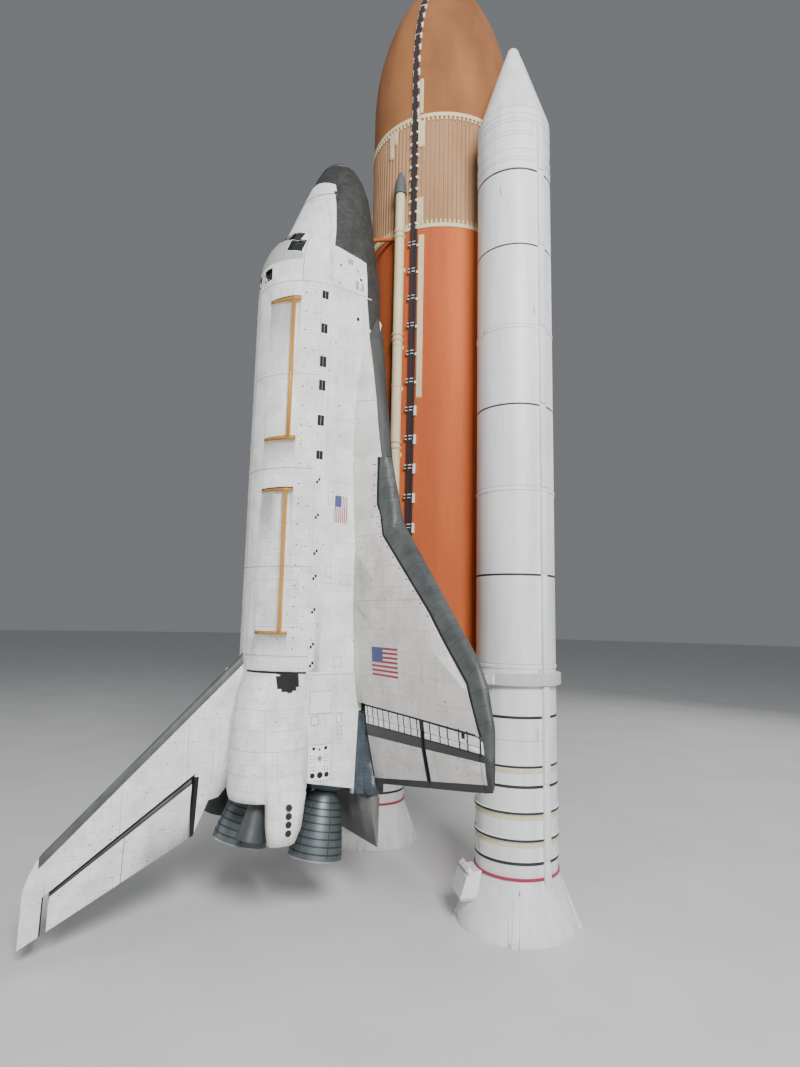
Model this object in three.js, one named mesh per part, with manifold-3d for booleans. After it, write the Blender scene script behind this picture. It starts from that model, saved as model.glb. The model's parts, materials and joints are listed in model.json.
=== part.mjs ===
// A space shuttle at half size, as it stands before launch: the winged orbiter with its nose up,
// the orange tank it hangs from, and the two white boosters that carry the whole stack on their
// flared skirts. Millimetres, +Z up. The right wing points to +X, the orbiter's back to -Y.
import * as THREE from 'three';
import { mergeVertices } from 'three/addons/utils/BufferGeometryUtils.js';
import Module from 'manifold-3d';

const wasm = await Module();
wasm.setup();

// Driving dimensions. The real vehicle is laid out in inches from three station origins, so every
// size below is a real inch, and INCH turns it into millimetres of this half-size model.
const MODEL_SCALE = 0.5;
const INCH = 25.4 * MODEL_SCALE;
const FLOOR_STATION = 2473.64; // tank station of the boosters' feet
const BOOSTER_TO_TANK = 543; // booster station + this = tank station
const ORBITER_TO_TANK = 741; // orbiter station + this = tank station
const ORBITER_DROP = 63.5; // orbiter height of the tank's axis
const BOOSTER_OFFSET = 250.5; // booster axis from the tank's axis
const TANK_RADIUS = 165.5;
const BOOSTER_RADIUS = 73;
const FIN_TIP_HEIGHT = 818.7;
const TOUCH_GAP = 0.4; // mm left between pieces that touch
const SWING_GAP = 8; // mm left beside a piece that moves

// The frame's origin is on the floor, at the middle of the whole stack's plan.
const TANK_FLANGE = 2.2; // how far the tank's joint flanges stand proud
const TANK_Y = ((FIN_TIP_HEIGHT - ORBITER_DROP - TANK_RADIUS - TANK_FLANGE) / 2) * INCH;

// Finishes: colour, roughness, metalness
const FINISHES = {
  white_tile: [0xd9dadb, 0.75, 0],
  black_tile: [0x26282b, 0.6, 0],
  carbon_grey: [0x55595c, 0.6, 0.1],
  booster_white: [0xe6e8e6, 0.45, 0],
  orange_foam: [0xb9582a, 0.9, 0],
  tan_foam: [0xc08a62, 0.9, 0],
  cream_paint: [0xd8cda0, 0.7, 0],
  gold_paint: [0xc89640, 0.5, 0.2],
  steel: [0x8a8d90, 0.4, 0.8],
  nozzle_steel: [0x54606a, 0.45, 0.7],
  window_glass: [0x10151c, 0.1, 0],
};

const stack = new THREE.Group();
const tank = new THREE.Group();
tank.position.set(0, TANK_Y, 0);
const orbiter = new THREE.Group();
// In the orbiter's own frame x runs aft, y to the right wing and z up through its back.
orbiter.matrixAutoUpdate = false;
orbiter.matrix
  .makeBasis(new THREE.Vector3(0, 0, -1), new THREE.Vector3(1, 0, 0), new THREE.Vector3(0, -1, 0))
  .setPosition(0, TANK_Y + ORBITER_DROP * INCH, (FLOOR_STATION - ORBITER_TO_TANK) * INCH);
stack.add(tank, orbiter);

// A closed geometry as a solid that can be cut and joined
function solid(geometry) {
  const loose = geometry.index ? geometry.toNonIndexed() : geometry.clone();
  const bare = new THREE.BufferGeometry().setAttribute('position', loose.getAttribute('position'));
  const merged = mergeVertices(bare, 1e-3);
  const vertProperties = merged.attributes.position.array;
  const triVerts = new Uint32Array(merged.index.array);
  const made = new wasm.Manifold(new wasm.Mesh({ numProp: 3, vertProperties, triVerts }));
  if (made.volume() > 0) return made;
  const turned = triVerts.slice();
  for (let i = 0; i < turned.length; i += 3) [turned[i], turned[i + 1]] = [turned[i + 1], turned[i]];
  return new wasm.Manifold(new wasm.Mesh({ numProp: 3, vertProperties, triVerts: turned }));
}

function geometryOf(cutSolid) {
  const mesh = cutSolid.getMesh();
  const count = mesh.numProp;
  const corners = new Float32Array(mesh.numVert * 3);
  for (let i = 0; i < mesh.numVert; i++) {
    corners.set(mesh.vertProperties.subarray(i * count, i * count + 3), i * 3);
  }
  return new THREE.BufferGeometry()
    .setAttribute('position', new THREE.BufferAttribute(corners, 3))
    .setIndex(new THREE.BufferAttribute(mesh.triVerts, 1));
}

function addPiece(group, name, finish, piece) {
  const [color, roughness, metalness] = FINISHES[finish];
  const material = new THREE.MeshStandardMaterial({ color, roughness, metalness });
  const mesh = new THREE.Mesh(geometryOf(piece), material);
  mesh.name = name;
  group.add(mesh);
}

// The piece drawn in by a small gap on every side of its own box
function shrunk(piece, gap) {
  const { min, max } = piece.boundingBox();
  const middle = min.map((low, i) => (low + max[i]) / 2);
  const factors = min.map((low, i) => 1 - (2 * gap) / (max[i] - low));
  return piece.translate(middle.map((m) => -m)).scale(factors).translate(middle);
}

const joined = (...solids) => solids.reduce((whole, next) => whole.add(next));
const without = (body, ...cuts) => cuts.reduce((left, cut) => left.subtract(cut), body);

// A box between two corners, in inches of the frame it is used in
function box([x0, y0, z0], [x1, y1, z1]) {
  const geometry = new THREE.BoxGeometry((x1 - x0) * INCH, (y1 - y0) * INCH, (z1 - z0) * INCH);
  geometry.translate(((x0 + x1) / 2) * INCH, ((y0 + y1) / 2) * INCH, ((z0 + z1) / 2) * INCH);
  return solid(geometry);
}

// A surface of revolution about +Z from [radius, height] pairs in inches
function turned(profile, segments) {
  const points = profile.map(([radius, height]) => new THREE.Vector2(radius * INCH, height * INCH));
  return new THREE.LatheGeometry(points, segments).rotateX(Math.PI / 2);
}

// A plate of the outline, in inches, standing on z = from and reaching z = to
function plate(outline, from, to) {
  const shape = new THREE.Shape(outline.map(([x, y]) => new THREE.Vector2(x * INCH, y * INCH)));
  const geometry = new THREE.ExtrudeGeometry(shape, { depth: (to - from) * INCH, bevelEnabled: false });
  return geometry.translate(0, 0, from * INCH);
}

// A skin through like rings of points, closed by a fan at each end
function loft(rings) {
  const count = rings[0].length;
  const middle = (ring) => ring.reduce((sum, p) => sum.add(p), new THREE.Vector3()).divideScalar(count);
  const points = [...rings.flat(), middle(rings[0]), middle(rings.at(-1))];
  const lastRing = (rings.length - 1) * count;
  const [firstCap, lastCap] = [rings.length * count, rings.length * count + 1];
  const index = [];
  for (let i = 0; i < count; i++) {
    const next = (i + 1) % count;
    for (let start = 0; start < lastRing; start += count) {
      const [a, b, c, d] = [start + i, start + next, start + count + next, start + count + i];
      index.push(a, b, c, a, c, d);
    }
    index.push(firstCap, next, i, lastCap, lastRing + i, lastRing + next);
  }
  const geometry = new THREE.BufferGeometry().setFromPoints(points);
  return solid(geometry.setIndex(index));
}

// A round bar between two points, with its own radius at each end, all in inches
function bar(from, to, radius, endRadius = radius, segments = 12) {
  const start = new THREE.Vector3(...from).multiplyScalar(INCH);
  const end = new THREE.Vector3(...to).multiplyScalar(INCH);
  const length = start.distanceTo(end);
  const geometry = new THREE.CylinderGeometry(endRadius * INCH, radius * INCH, length, segments);
  geometry.translate(0, length / 2, 0);
  geometry.applyQuaternion(
    new THREE.Quaternion().setFromUnitVectors(
      new THREE.Vector3(0, 1, 0), end.clone().sub(start).normalize(),
    ),
  );
  return solid(geometry.translate(start.x, start.y, start.z));
}

// External tank. Stations are the tank's own, from its nose down.
const tankUp = (station) => FLOOR_STATION - station;
const TANK = {
  tip: 322.5, capBase: 371, ogiveEnd: 745, oxygenEnd: 852.8, hydrogenStart: 1123.15,
  barrelEnd: 2058, domeEnd: 2173, ogiveRadius: 612, capTipRadius: 4, segments: 40,
};
const ogiveRadiusAt = (station) => TANK_RADIUS - TANK.ogiveRadius
  + Math.sqrt(TANK.ogiveRadius ** 2 - Math.max(0, TANK.ogiveEnd - station) ** 2);
const tankGap = TOUCH_GAP / INCH;

const OGIVE_STEPS = 9;
const DOME_STEPS = 6;
const FLANGE = { height: 9, proud: TANK_FLANGE };
const ogiveStations = Array.from({ length: OGIVE_STEPS + 1 }, (_, i) => (
  TANK.capBase + ((TANK.ogiveEnd - TANK.capBase) * i) / OGIVE_STEPS
));
const domePoint = (i, grow) => {
  const angle = (Math.PI / 2) * (i / DOME_STEPS);
  const depth = (TANK.domeEnd - TANK.barrelEnd + grow) * Math.sin(angle);
  return [i < DOME_STEPS ? (TANK_RADIUS + grow) * Math.cos(angle) : 0, tankUp(TANK.barrelEnd + depth)];
};
const domePoints = (grow) => Array.from({ length: DOME_STEPS + 1 }, (_, i) => domePoint(i, grow));

// The whole tank's outline, a little larger, for cutting what stands on it
function tankEnvelope() {
  const grow = 0.05;
  const edge = TANK_RADIUS + FLANGE.proud + grow;
  const wall = TANK_RADIUS + grow;
  const { oxygenEnd, hydrogenStart, capBase, segments } = TANK;
  return solid(turned([
    [0, tankUp(capBase)], ...ogiveStations.map((s) => [ogiveRadiusAt(s) + grow, tankUp(s)]),
    [wall, tankUp(oxygenEnd)], [edge, tankUp(oxygenEnd)], [edge, tankUp(oxygenEnd + FLANGE.height + grow)],
    [wall, tankUp(oxygenEnd + FLANGE.height + grow)], [wall, tankUp(hydrogenStart - FLANGE.height - grow)],
    [edge, tankUp(hydrogenStart - FLANGE.height - grow)], [edge, tankUp(hydrogenStart)],
    [wall, tankUp(hydrogenStart)], ...domePoints(grow),
  ], segments));
}

function buildTank() {
  const { tip, capBase, oxygenEnd, hydrogenStart, segments } = TANK;
  const capRadius = ogiveRadiusAt(capBase);
  addPiece(tank, 'tank_nose_cap', 'cream_paint', solid(turned([
    [0, tankUp(tip)], [TANK.capTipRadius, tankUp(tip + 3)], [TANK.capTipRadius * 2, tankUp(tip + 22)],
    [capRadius, tankUp(capBase)], [0, tankUp(capBase)],
  ], segments)));

  const ogive = ogiveStations.map((s, i) => [ogiveRadiusAt(s), tankUp(i ? s : s + tankGap)]);
  addPiece(tank, 'oxygen_tank', 'orange_foam', solid(turned([
    [0, tankUp(capBase + tankGap)], ...ogive,
    [TANK_RADIUS, tankUp(oxygenEnd)], [0, tankUp(oxygenEnd)],
  ], segments)));

  const [top, bottom] = [oxygenEnd + tankGap, hydrogenStart - tankGap];
  const edge = TANK_RADIUS + FLANGE.proud;
  addPiece(tank, 'intertank', 'tan_foam', solid(turned([
    [0, tankUp(top)], [edge, tankUp(top)], [edge, tankUp(top + FLANGE.height)],
    [TANK_RADIUS, tankUp(top + FLANGE.height)], [TANK_RADIUS, tankUp(bottom - FLANGE.height)],
    [edge, tankUp(bottom - FLANGE.height)], [edge, tankUp(bottom)], [0, tankUp(bottom)],
  ], segments)));

  addPiece(tank, 'hydrogen_tank', 'orange_foam', solid(turned([
    [0, tankUp(hydrogenStart)], [TANK_RADIUS, tankUp(hydrogenStart)], ...domePoints(0),
  ], segments)));
}

// Lines that run down the tank's right shoulder, each a path at an angle round the tank from +X
const FEEDLINE = { angle: -66, standoff: 14, radius: 10.5, top: 1041, elbow: 2093, sides: 12 };
// the pointed cap over its upper end: station and share of the pipe's radius
const FEEDLINE_CAP = [[FEEDLINE.top, 1.28], [1020, 1.2], [1003, 0.82], [988, 0.12]];
const TRAY = { angle: -57, lift: 3, width: 9, depth: 7, top: 372, bottom: 2040 };
const TRAY_BRACKETS = { first: 1155, apart: 61, count: 15, long: 4, beside: 4.5, proud: 1.2 };

const aroundTank = (angle, radius, station) => {
  const turn = THREE.MathUtils.degToRad(angle);
  return [radius * Math.cos(turn), radius * Math.sin(turn), tankUp(station)];
};

function buildFeedline() {
  const { angle, standoff, radius, top, elbow, sides } = FEEDLINE;
  const axisRadius = TANK_RADIUS + standoff;
  const at = (station, extra = 0) => aroundTank(angle, axisRadius + extra, station);
  const umbilical = fromOrbiter(UMBILICAL.station, UMBILICAL.across, UMBILICAL.height);
  const pipe = [
    bar(at(top), at(elbow), radius, radius, sides),
    ...FEEDLINE_CAP.slice(1).map(([station, share], i) => (
      bar(at(FEEDLINE_CAP[i][0]), at(station), radius * FEEDLINE_CAP[i][1], radius * share, sides)
    )),
    bar(at(elbow - 6), umbilical, radius, radius * 0.9, sides),
  ];
  const orbiterBelly = box([0, -300, 0], [200, -(UMBILICAL.height - ORBITER_DROP), tankUp(1900)]);
  const flangeStations = [1128, 1360, 1592, 1824];
  const flanges = flangeStations.flatMap((s) => [s, s + 12]).map((s) => (
    bar(at(s), at(s + 3.5), radius + 2.6, radius + 2.6, sides)
  ));
  const feetStations = [1180, 1290, 1420, 1530, 1650, 1760, 1890, 2000];
  const feet = feetStations.map((s) => bar(at(s, 0), at(s, -standoff - 4), 3.2, 3.2, 6));
  addPiece(tank, 'oxygen_feedline', 'cream_paint',
    without(joined(...pipe, ...flanges, ...feet), tankEnvelope(), orbiterBelly));
}

function buildTray() {
  const { angle, lift, width, depth, top, bottom } = TRAY;
  const stations = [top, ...ogiveStations.slice(1), bottom];
  const turn = THREE.MathUtils.degToRad(angle);
  const outward = new THREE.Vector3(Math.cos(turn), Math.sin(turn), 0);
  const across = new THREE.Vector3(-Math.sin(turn), Math.cos(turn), 0);
  const ring = (station, halfWidth, low, high) => {
    const base = ogiveRadiusAt(Math.min(Math.max(station, TANK.capBase), TANK.ogiveEnd));
    return [[-halfWidth, low], [halfWidth, low], [halfWidth, high], [-halfWidth, high]].map(([side, out]) => (
      new THREE.Vector3(0, 0, tankUp(station))
        .addScaledVector(outward, base + out)
        .addScaledVector(across, side)
        .multiplyScalar(INCH)
    ));
  };
  const tray = loft(stations.map((s) => ring(s, width / 2, -lift, depth)));
  const { first, apart, count, long, beside, proud } = TRAY_BRACKETS;
  const brackets = Array.from({ length: count }, (_, i) => loft(
    [first + apart * i, first + apart * i + long].map((s) => ring(s, width / 2 + beside, -lift, depth + proud)),
  ));
  addPiece(tank, 'pressure_line_tray', 'cream_paint', without(joined(tray, ...brackets), tankEnvelope()));
}

// What ties the orbiter to the tank. Heights are the orbiter's, stations the orbiter's.
const UMBILICAL = { station: 1352, across: 62, height: 268.5, radius: 9 };
const BIPOD = { station: 388.15, foot: 53, head: 5, radius: 4.5, belly: 275 };
const REAR_ATTACH = { station: 1317, across: 96.5, depth: 9, belly: 269.5 };

// A point given in the orbiter's stations, in inches of the tank group
const fromOrbiter = (station, across, height) => [
  across, -(height - ORBITER_DROP), tankUp(station + ORBITER_TO_TANK),
];

function buildAttachments() {
  const { station, foot, head, radius, belly } = BIPOD;
  const footHeight = Math.sqrt(TANK_RADIUS ** 2 - foot ** 2) + ORBITER_DROP;
  const legs = [1, -1].flatMap((side) => [
    bar(fromOrbiter(station, side * foot, footHeight - 3), fromOrbiter(station, side * head, belly - 4), radius),
    bar(fromOrbiter(station, side * foot, footHeight - 6), fromOrbiter(station, side * foot, footHeight + 7), 7.4, 5),
  ]);
  const ball = bar(fromOrbiter(station, 0, belly - 12), fromOrbiter(station, 0, belly - 0.4), 13, 13);
  addPiece(tank, 'forward_bipod', 'orange_foam', without(joined(...legs, ball), tankEnvelope()));

  const rear = REAR_ATTACH;
  const beamLow = 240.5;
  const beamBox = (side0, side1, low, high, fore, aft) => {
    const [x0, yHigh, zTop] = fromOrbiter(rear.station + fore, side0, low);
    const [x1, yLow, zBottom] = fromOrbiter(rear.station + aft, side1, high);
    return box([x0, yLow, zBottom], [x1, yHigh, zTop]);
  };
  const beam = beamBox(-rear.across - 8, rear.across + 8, beamLow, beamLow + 12, -7, 7);
  const posts = [1, -1].flatMap((side) => [
    bar(fromOrbiter(rear.station, side * rear.across, beamLow + 4),
      fromOrbiter(rear.station, side * rear.across, rear.belly), 10, 8),
    bar(fromOrbiter(rear.station, side * rear.across, beamLow + 6),
      fromOrbiter(rear.station, side * 112, ORBITER_DROP + 120), 5),
    bar(fromOrbiter(rear.station, side * rear.across, beamLow + 6),
      fromOrbiter(rear.station - 190, side * 118, ORBITER_DROP + 110), 6),
  ]);
  addPiece(tank, 'rear_attach_frame', 'cream_paint', without(joined(beam, ...posts), tankEnvelope()));

  const elbow = UMBILICAL;
  const dip = [-elbow.across, -(elbow.height - 34 - ORBITER_DROP), tankUp(elbow.station + ORBITER_TO_TANK + 16)];
  const line = joined(
    bar(fromOrbiter(elbow.station + 16, -elbow.across, elbow.height), dip, elbow.radius),
    bar([dip[0], dip[1] - 4, dip[2]], aroundTank(-113, 120, 2075), elbow.radius, elbow.radius * 0.9),
  );
  addPiece(tank, 'hydrogen_feed_elbow', 'cream_paint', without(line, tankEnvelope()));
}

// Boosters. Stations are the booster's own, from its nose down; the right one is at +X.
const boosterUp = (station) => FLOOR_STATION - BOOSTER_TO_TANK - station;
const BOOSTER = {
  tip: 200, frustumEnd: 397, skirtEnd: 531, caseEnd: 1837, foot: 1930.64, footRadius: 106,
  tipRadius: 13, skirtWall: 5, segments: 24,
  hoops: [428, 505], fieldJoints: [851.5, 1171.5, 1491.5], stiffeners: [1690, 1814],
};

function bands(stations, halfHeight, proud) {
  return stations.map((station) => solid(turned([
    [0, boosterUp(station - halfHeight)], [BOOSTER_RADIUS + proud, boosterUp(station - halfHeight)],
    [BOOSTER_RADIUS + proud, boosterUp(station + halfHeight)], [0, boosterUp(station + halfHeight)],
  ], BOOSTER.segments)));
}

function buildBooster(side, word) {
  const group = new THREE.Group();
  group.position.set(side * BOOSTER_OFFSET * INCH, 0, 0);
  tank.add(group);
  const name = (piece) => `booster_${word}_${piece}`;
  const { tip, frustumEnd, skirtEnd, caseEnd, foot, footRadius, tipRadius, skirtWall, segments } = BOOSTER;
  const gap = TOUCH_GAP / INCH;

  // Nose: a blunt cap on a frustum
  addPiece(group, name('nose_cone'), 'booster_white', solid(turned([
    [0, boosterUp(tip)], [tipRadius * 0.5, boosterUp(tip + 2)], [tipRadius * 0.87, boosterUp(tip + 6)],
    [tipRadius, boosterUp(tip + 12)], [BOOSTER_RADIUS, boosterUp(frustumEnd)], [0, boosterUp(frustumEnd)],
  ], segments)));

  // Forward skirt with its hoops, and the thrust fitting that carries the tank
  const skirtTop = frustumEnd + gap;
  const hoops = bands(BOOSTER.hoops, 1.5, 1);
  const skirt = solid(turned([
    [0, boosterUp(skirtTop)], [BOOSTER_RADIUS, boosterUp(skirtTop)],
    [BOOSTER_RADIUS, boosterUp(skirtEnd - gap)], [0, boosterUp(skirtEnd - gap)],
  ], segments));
  const thrustStation = 985.7 - BOOSTER_TO_TANK;
  const reach = BOOSTER_OFFSET - TANK_RADIUS - 2.6;
  const thrustPost = box(
    [side > 0 ? -reach : 60, -9, boosterUp(thrustStation + 14)],
    [side > 0 ? -60 : reach, 9, boosterUp(thrustStation - 14)],
  );
  addPiece(group, name('forward_skirt'), 'booster_white', joined(skirt, ...hoops, thrustPost));

  // Motor case: eight cylinders, joined at weather seals and field joints
  const motor = solid(turned([
    [0, boosterUp(skirtEnd)], [BOOSTER_RADIUS, boosterUp(skirtEnd)],
    [BOOSTER_RADIUS, boosterUp(caseEnd)], [0, boosterUp(caseEnd)],
  ], segments));
  addPiece(group, name('motor_case'), 'booster_white', joined(
    motor, ...bands(BOOSTER.fieldJoints, 4, 1.6), ...bands(BOOSTER.stiffeners, 1.8, 2.6),
  ));

  // Attach ring, open where the systems tunnel passes, with three short struts to the tank
  const ringStation = 1511;
  const ring = solid(turned([
    [BOOSTER_RADIUS + 0.05, boosterUp(ringStation - 8)], [BOOSTER_RADIUS + 9, boosterUp(ringStation - 8)],
    [BOOSTER_RADIUS + 9, boosterUp(ringStation + 8)], [BOOSTER_RADIUS + 0.05, boosterUp(ringStation + 8)],
    [BOOSTER_RADIUS + 0.05, boosterUp(ringStation - 8)],
  ], segments));
  const strutReach = BOOSTER_OFFSET - Math.sqrt(TANK_RADIUS ** 2 - 60 ** 2);
  const struts = [-52, 40, 52].map((across, i) => bar(
    [-side * 60, across, boosterUp(ringStation)],
    [-side * (strutReach + 4), across * (i === 1 ? -0.4 : 1.05), boosterUp(ringStation)], 4.5,
  ));
  const ownCase = solid(turned([
    [0, boosterUp(1400)], [BOOSTER_RADIUS + 0.05, boosterUp(1400)],
    [BOOSTER_RADIUS + 0.05, boosterUp(1600)], [0, boosterUp(1600)],
  ], segments));
  const tankWall = tankEnvelope().translate([-side * BOOSTER_OFFSET * INCH, 0, 0]);
  const tunnelWay = box(
    [side > 0 ? 60 : -90, -7.05, boosterUp(ringStation + 10)], [side > 0 ? 90 : -60, 7.05, boosterUp(ringStation - 10)],
  );
  addPiece(group, name('attach_ring'), 'booster_white', without(joined(ring, ...struts), ownCase, tankWall,
    tunnelWay));

  // Systems tunnel down the outboard side
  const { hoops: hoopStations, fieldJoints, stiffeners } = BOOSTER;
  const tunnel = box(
    [side > 0 ? 66 : -80, -7, boosterUp(caseEnd + 22)], [side > 0 ? 80 : -66, 7, boosterUp(430)],
  );
  const underTunnel = solid(turned([
    [0, boosterUp(420)], [BOOSTER_RADIUS + 0.05, boosterUp(420)],
    ...[...hoopStations.map((s) => [s, 1.5, 1]), ...fieldJoints.map((s) => [s, 4, 1.6]),
      ...stiffeners.map((s) => [s, 1.8, 2.6])]
      .flatMap(([s, half, proud]) => [
        [BOOSTER_RADIUS + 0.05, boosterUp(s - half - 0.05)], [BOOSTER_RADIUS + proud + 0.05, boosterUp(s - half - 0.05)],
        [BOOSTER_RADIUS + proud + 0.05, boosterUp(s + half + 0.05)], [BOOSTER_RADIUS + 0.05, boosterUp(s + half + 0.05)],
      ]),
    [BOOSTER_RADIUS + 0.05, boosterUp(caseEnd + gap)], [BOOSTER_RADIUS + 2.45, boosterUp(caseEnd + gap)],
    [BOOSTER_RADIUS + 2.45, boosterUp(caseEnd + 4.5)], [footRadius + 0.3, boosterUp(foot)], [0, boosterUp(foot)],
  ], segments));
  addPiece(group, name('systems_tunnel'), 'booster_white', without(tunnel, underTunnel));

  // Aft skirt: a hollow cone with a lip at its top, four hold-down posts and the separation motors
  const skirtStart = caseEnd + gap;
  const closed = 12;
  const wall = skirtWall;
  const cone = solid(turned([
    [0, boosterUp(skirtStart)], [BOOSTER_RADIUS + 2.4, boosterUp(skirtStart)],
    [BOOSTER_RADIUS + 2.4, boosterUp(skirtStart + 4)], [BOOSTER_RADIUS, boosterUp(skirtStart + 4)],
    [footRadius, boosterUp(foot - 6)], [footRadius, boosterUp(foot)], [footRadius - wall, boosterUp(foot)],
    [footRadius - wall, boosterUp(foot - 6)], [BOOSTER_RADIUS - wall + closed * 0.35, boosterUp(skirtStart + closed)],
    [0, boosterUp(skirtStart + closed)],
  ], segments));
  const posts = [45, 135, 225, 315].map((angle) => {
    const turn = THREE.MathUtils.degToRad(angle);
    const [c, s] = [Math.cos(turn), Math.sin(turn)];
    const ringAt = (radius0, radius1, halfWidth, station) => (
      [[radius0, -halfWidth], [radius1, -halfWidth], [radius1, halfWidth], [radius0, halfWidth]]
        .map(([r, t]) => new THREE.Vector3(r * c - t * s, r * s + t * c, boosterUp(station)).multiplyScalar(INCH))
    );
    return loft([
      ringAt(74, 77, 1.5, skirtStart + 14), ringAt(96, 109, 4, foot - 8), ringAt(96, 111, 6, foot - 7.9),
      ringAt(96, 111, 6, foot),
    ]);
  });
  const motorTurn = THREE.MathUtils.degToRad(side > 0 ? -112 : -68);
  const packRing = (radius0, radius1, halfWidth, station) => (
    [[radius0, -halfWidth], [radius1, -halfWidth], [radius1, halfWidth], [radius0, halfWidth]].map(([r, t]) => (
      new THREE.Vector3(
        r * Math.cos(motorTurn) - t * Math.sin(motorTurn),
        r * Math.sin(motorTurn) + t * Math.cos(motorTurn), boosterUp(station),
      ).multiplyScalar(INCH)
    ))
  );
  const motorPack = loft([
    packRing(72, 80, 22, skirtStart + 2), packRing(76, 101, 27, skirtStart + 10),
    packRing(82, 112, 27, skirtStart + 44), packRing(90, 108, 22, skirtStart + 50),
  ]);
  const skirtInside = solid(turned([
    [0, boosterUp(skirtStart + closed)], [BOOSTER_RADIUS - wall + closed * 0.35, boosterUp(skirtStart + closed)],
    [footRadius - wall, boosterUp(foot - 6)], [footRadius - wall, boosterUp(foot + 1)], [0, boosterUp(foot + 1)],
  ], segments));
  addPiece(group, name('aft_skirt'), 'booster_white', without(joined(cone, ...posts, motorPack), skirtInside));

  // Nozzle, which swings about the middle of the plate that closes the skirt
  const throat = skirtStart + closed;
  addPiece(group, name('nozzle'), 'black_tile', solid(turned([
    [0, boosterUp(throat + 8)], [30, boosterUp(throat + 8)], [36, boosterUp(throat + 16)],
    [62, boosterUp(foot - 14)], [58, boosterUp(foot - 14)], [27, boosterUp(throat + 19)],
    [0, boosterUp(throat + 15)],
  ], 20)));
}

// Orbiter. From here on every piece is laid out in orbiter stations: [aft, across, up] in inches.
const P = (station, across, height) => new THREE.Vector3(station, across, height).multiplyScalar(INCH);
const BODY_POINTS = 32;
const SILL = 418; // height of the payload bay's sill
const BAY = { start: 578, end: 1307, radius: 93, centre: 400 };

// station, half width, bottom, top, height of the widest line, squareness below, squareness above
const BODY = [
  [236.6, 4, 334, 342, 338, 2, 2],
  [240, 15, 323, 353, 338, 2, 2],
  [247, 25, 313, 364, 338, 2, 2],
  [262, 38, 302, 377, 337, 2.1, 2],
  [290, 54, 291, 391, 336, 2.3, 2],
  [330, 69, 283, 408, 338, 2.6, 2],
  [375, 80, 277, 425, 345, 2.7, 2],
  [415, 88, 274, 440, 352, 2.9, 2],
  [448, 93, 273, 454, 362, 3.2, 2.1],
  [464, 95, 272, 470, 368, 3.4, 2.1],
  [486, 98, 272, 485, 376, 3.7, 2.1],
  [508, 101, 271, 494, 384, 4.1, 2.1],
  [532, 103, 270, 498, 390, 4.6, 2],
  [578, 104, 270, 500, 396, 5.5, 2],
  [1307, 104, 270, 500, 396, 9, 2],
  [1540, 106, 277, 500, 396, 9, 2],
];

function bodyRow(station) {
  const after = BODY.findIndex((row) => row[0] >= station);
  if (after <= 0) return BODY[0];
  const [low, high] = [BODY[after - 1], BODY[after]];
  const share = (station - low[0]) / (high[0] - low[0]);
  return low.map((value, i) => value + (high[i] - value) * share);
}

// One point of the skin: angle 0 is the right side, 90 the back; inset goes inwards
function skinPoint(station, angle, inset = 0) {
  const [, halfWidth, bottom, top, widest, lower, upper] = bodyRow(station);
  const turn = THREE.MathUtils.degToRad(angle);
  const [c, s] = [Math.cos(turn), Math.sin(turn)];
  const power = 2 / (s >= 0 ? upper : lower);
  const tall = s >= 0 ? top - inset - widest : widest - bottom - inset;
  return P(
    station,
    Math.sign(c) * Math.abs(c) ** power * (halfWidth - inset),
    widest + Math.sign(s) * Math.abs(s) ** power * tall,
  );
}

function bodyBetween(from, to, inset = 0) {
  const stations = [from, ...BODY.map((row) => row[0]).filter((s) => s > from + 0.5 && s < to - 0.5), to];
  return loft(stations.map((station) => (
    Array.from({ length: BODY_POINTS }, (_, i) => skinPoint(station, (360 * i) / BODY_POINTS, inset))
  )));
}

const gapInches = TOUCH_GAP / INCH;
const swingInches = SWING_GAP / INCH;
const everything = { low: -900, high: 2200 };
const above = (height) => box([0, -600, height], [everything.high, 600, 1000]);
const below = (height) => box([0, -600, 0], [everything.high, 600, height]);

// Windows of one side, each by its corners: station and angle round the skin, outboard ones first
const WINDSHIELD_PANES = [
  [[454, 66], [452, 86], [473, 86], [476, 67]],
  [[468, 46], [460, 62], [479, 63], [484, 46]],
  [[488, 38], [486, 54], [508, 54], [512, 39]],
];
const OVERHEAD_PANES = [[[541, 73], [541, 84], [562, 83], [562, 72]]];

function paneCutter(corners, side, outer, inner) {
  const quad = (inset) => (
    corners.map(([station, angle]) => skinPoint(station, side > 0 ? angle : 180 - angle, inset))
  );
  return loft([quad(outer), quad(inner)]);
}

const SHELL = { wall: 4, cabinStart: 405, cabinEnd: 578, split: 398 };
const HATCH = { station: 487, height: 352, radius: 20 };

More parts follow.
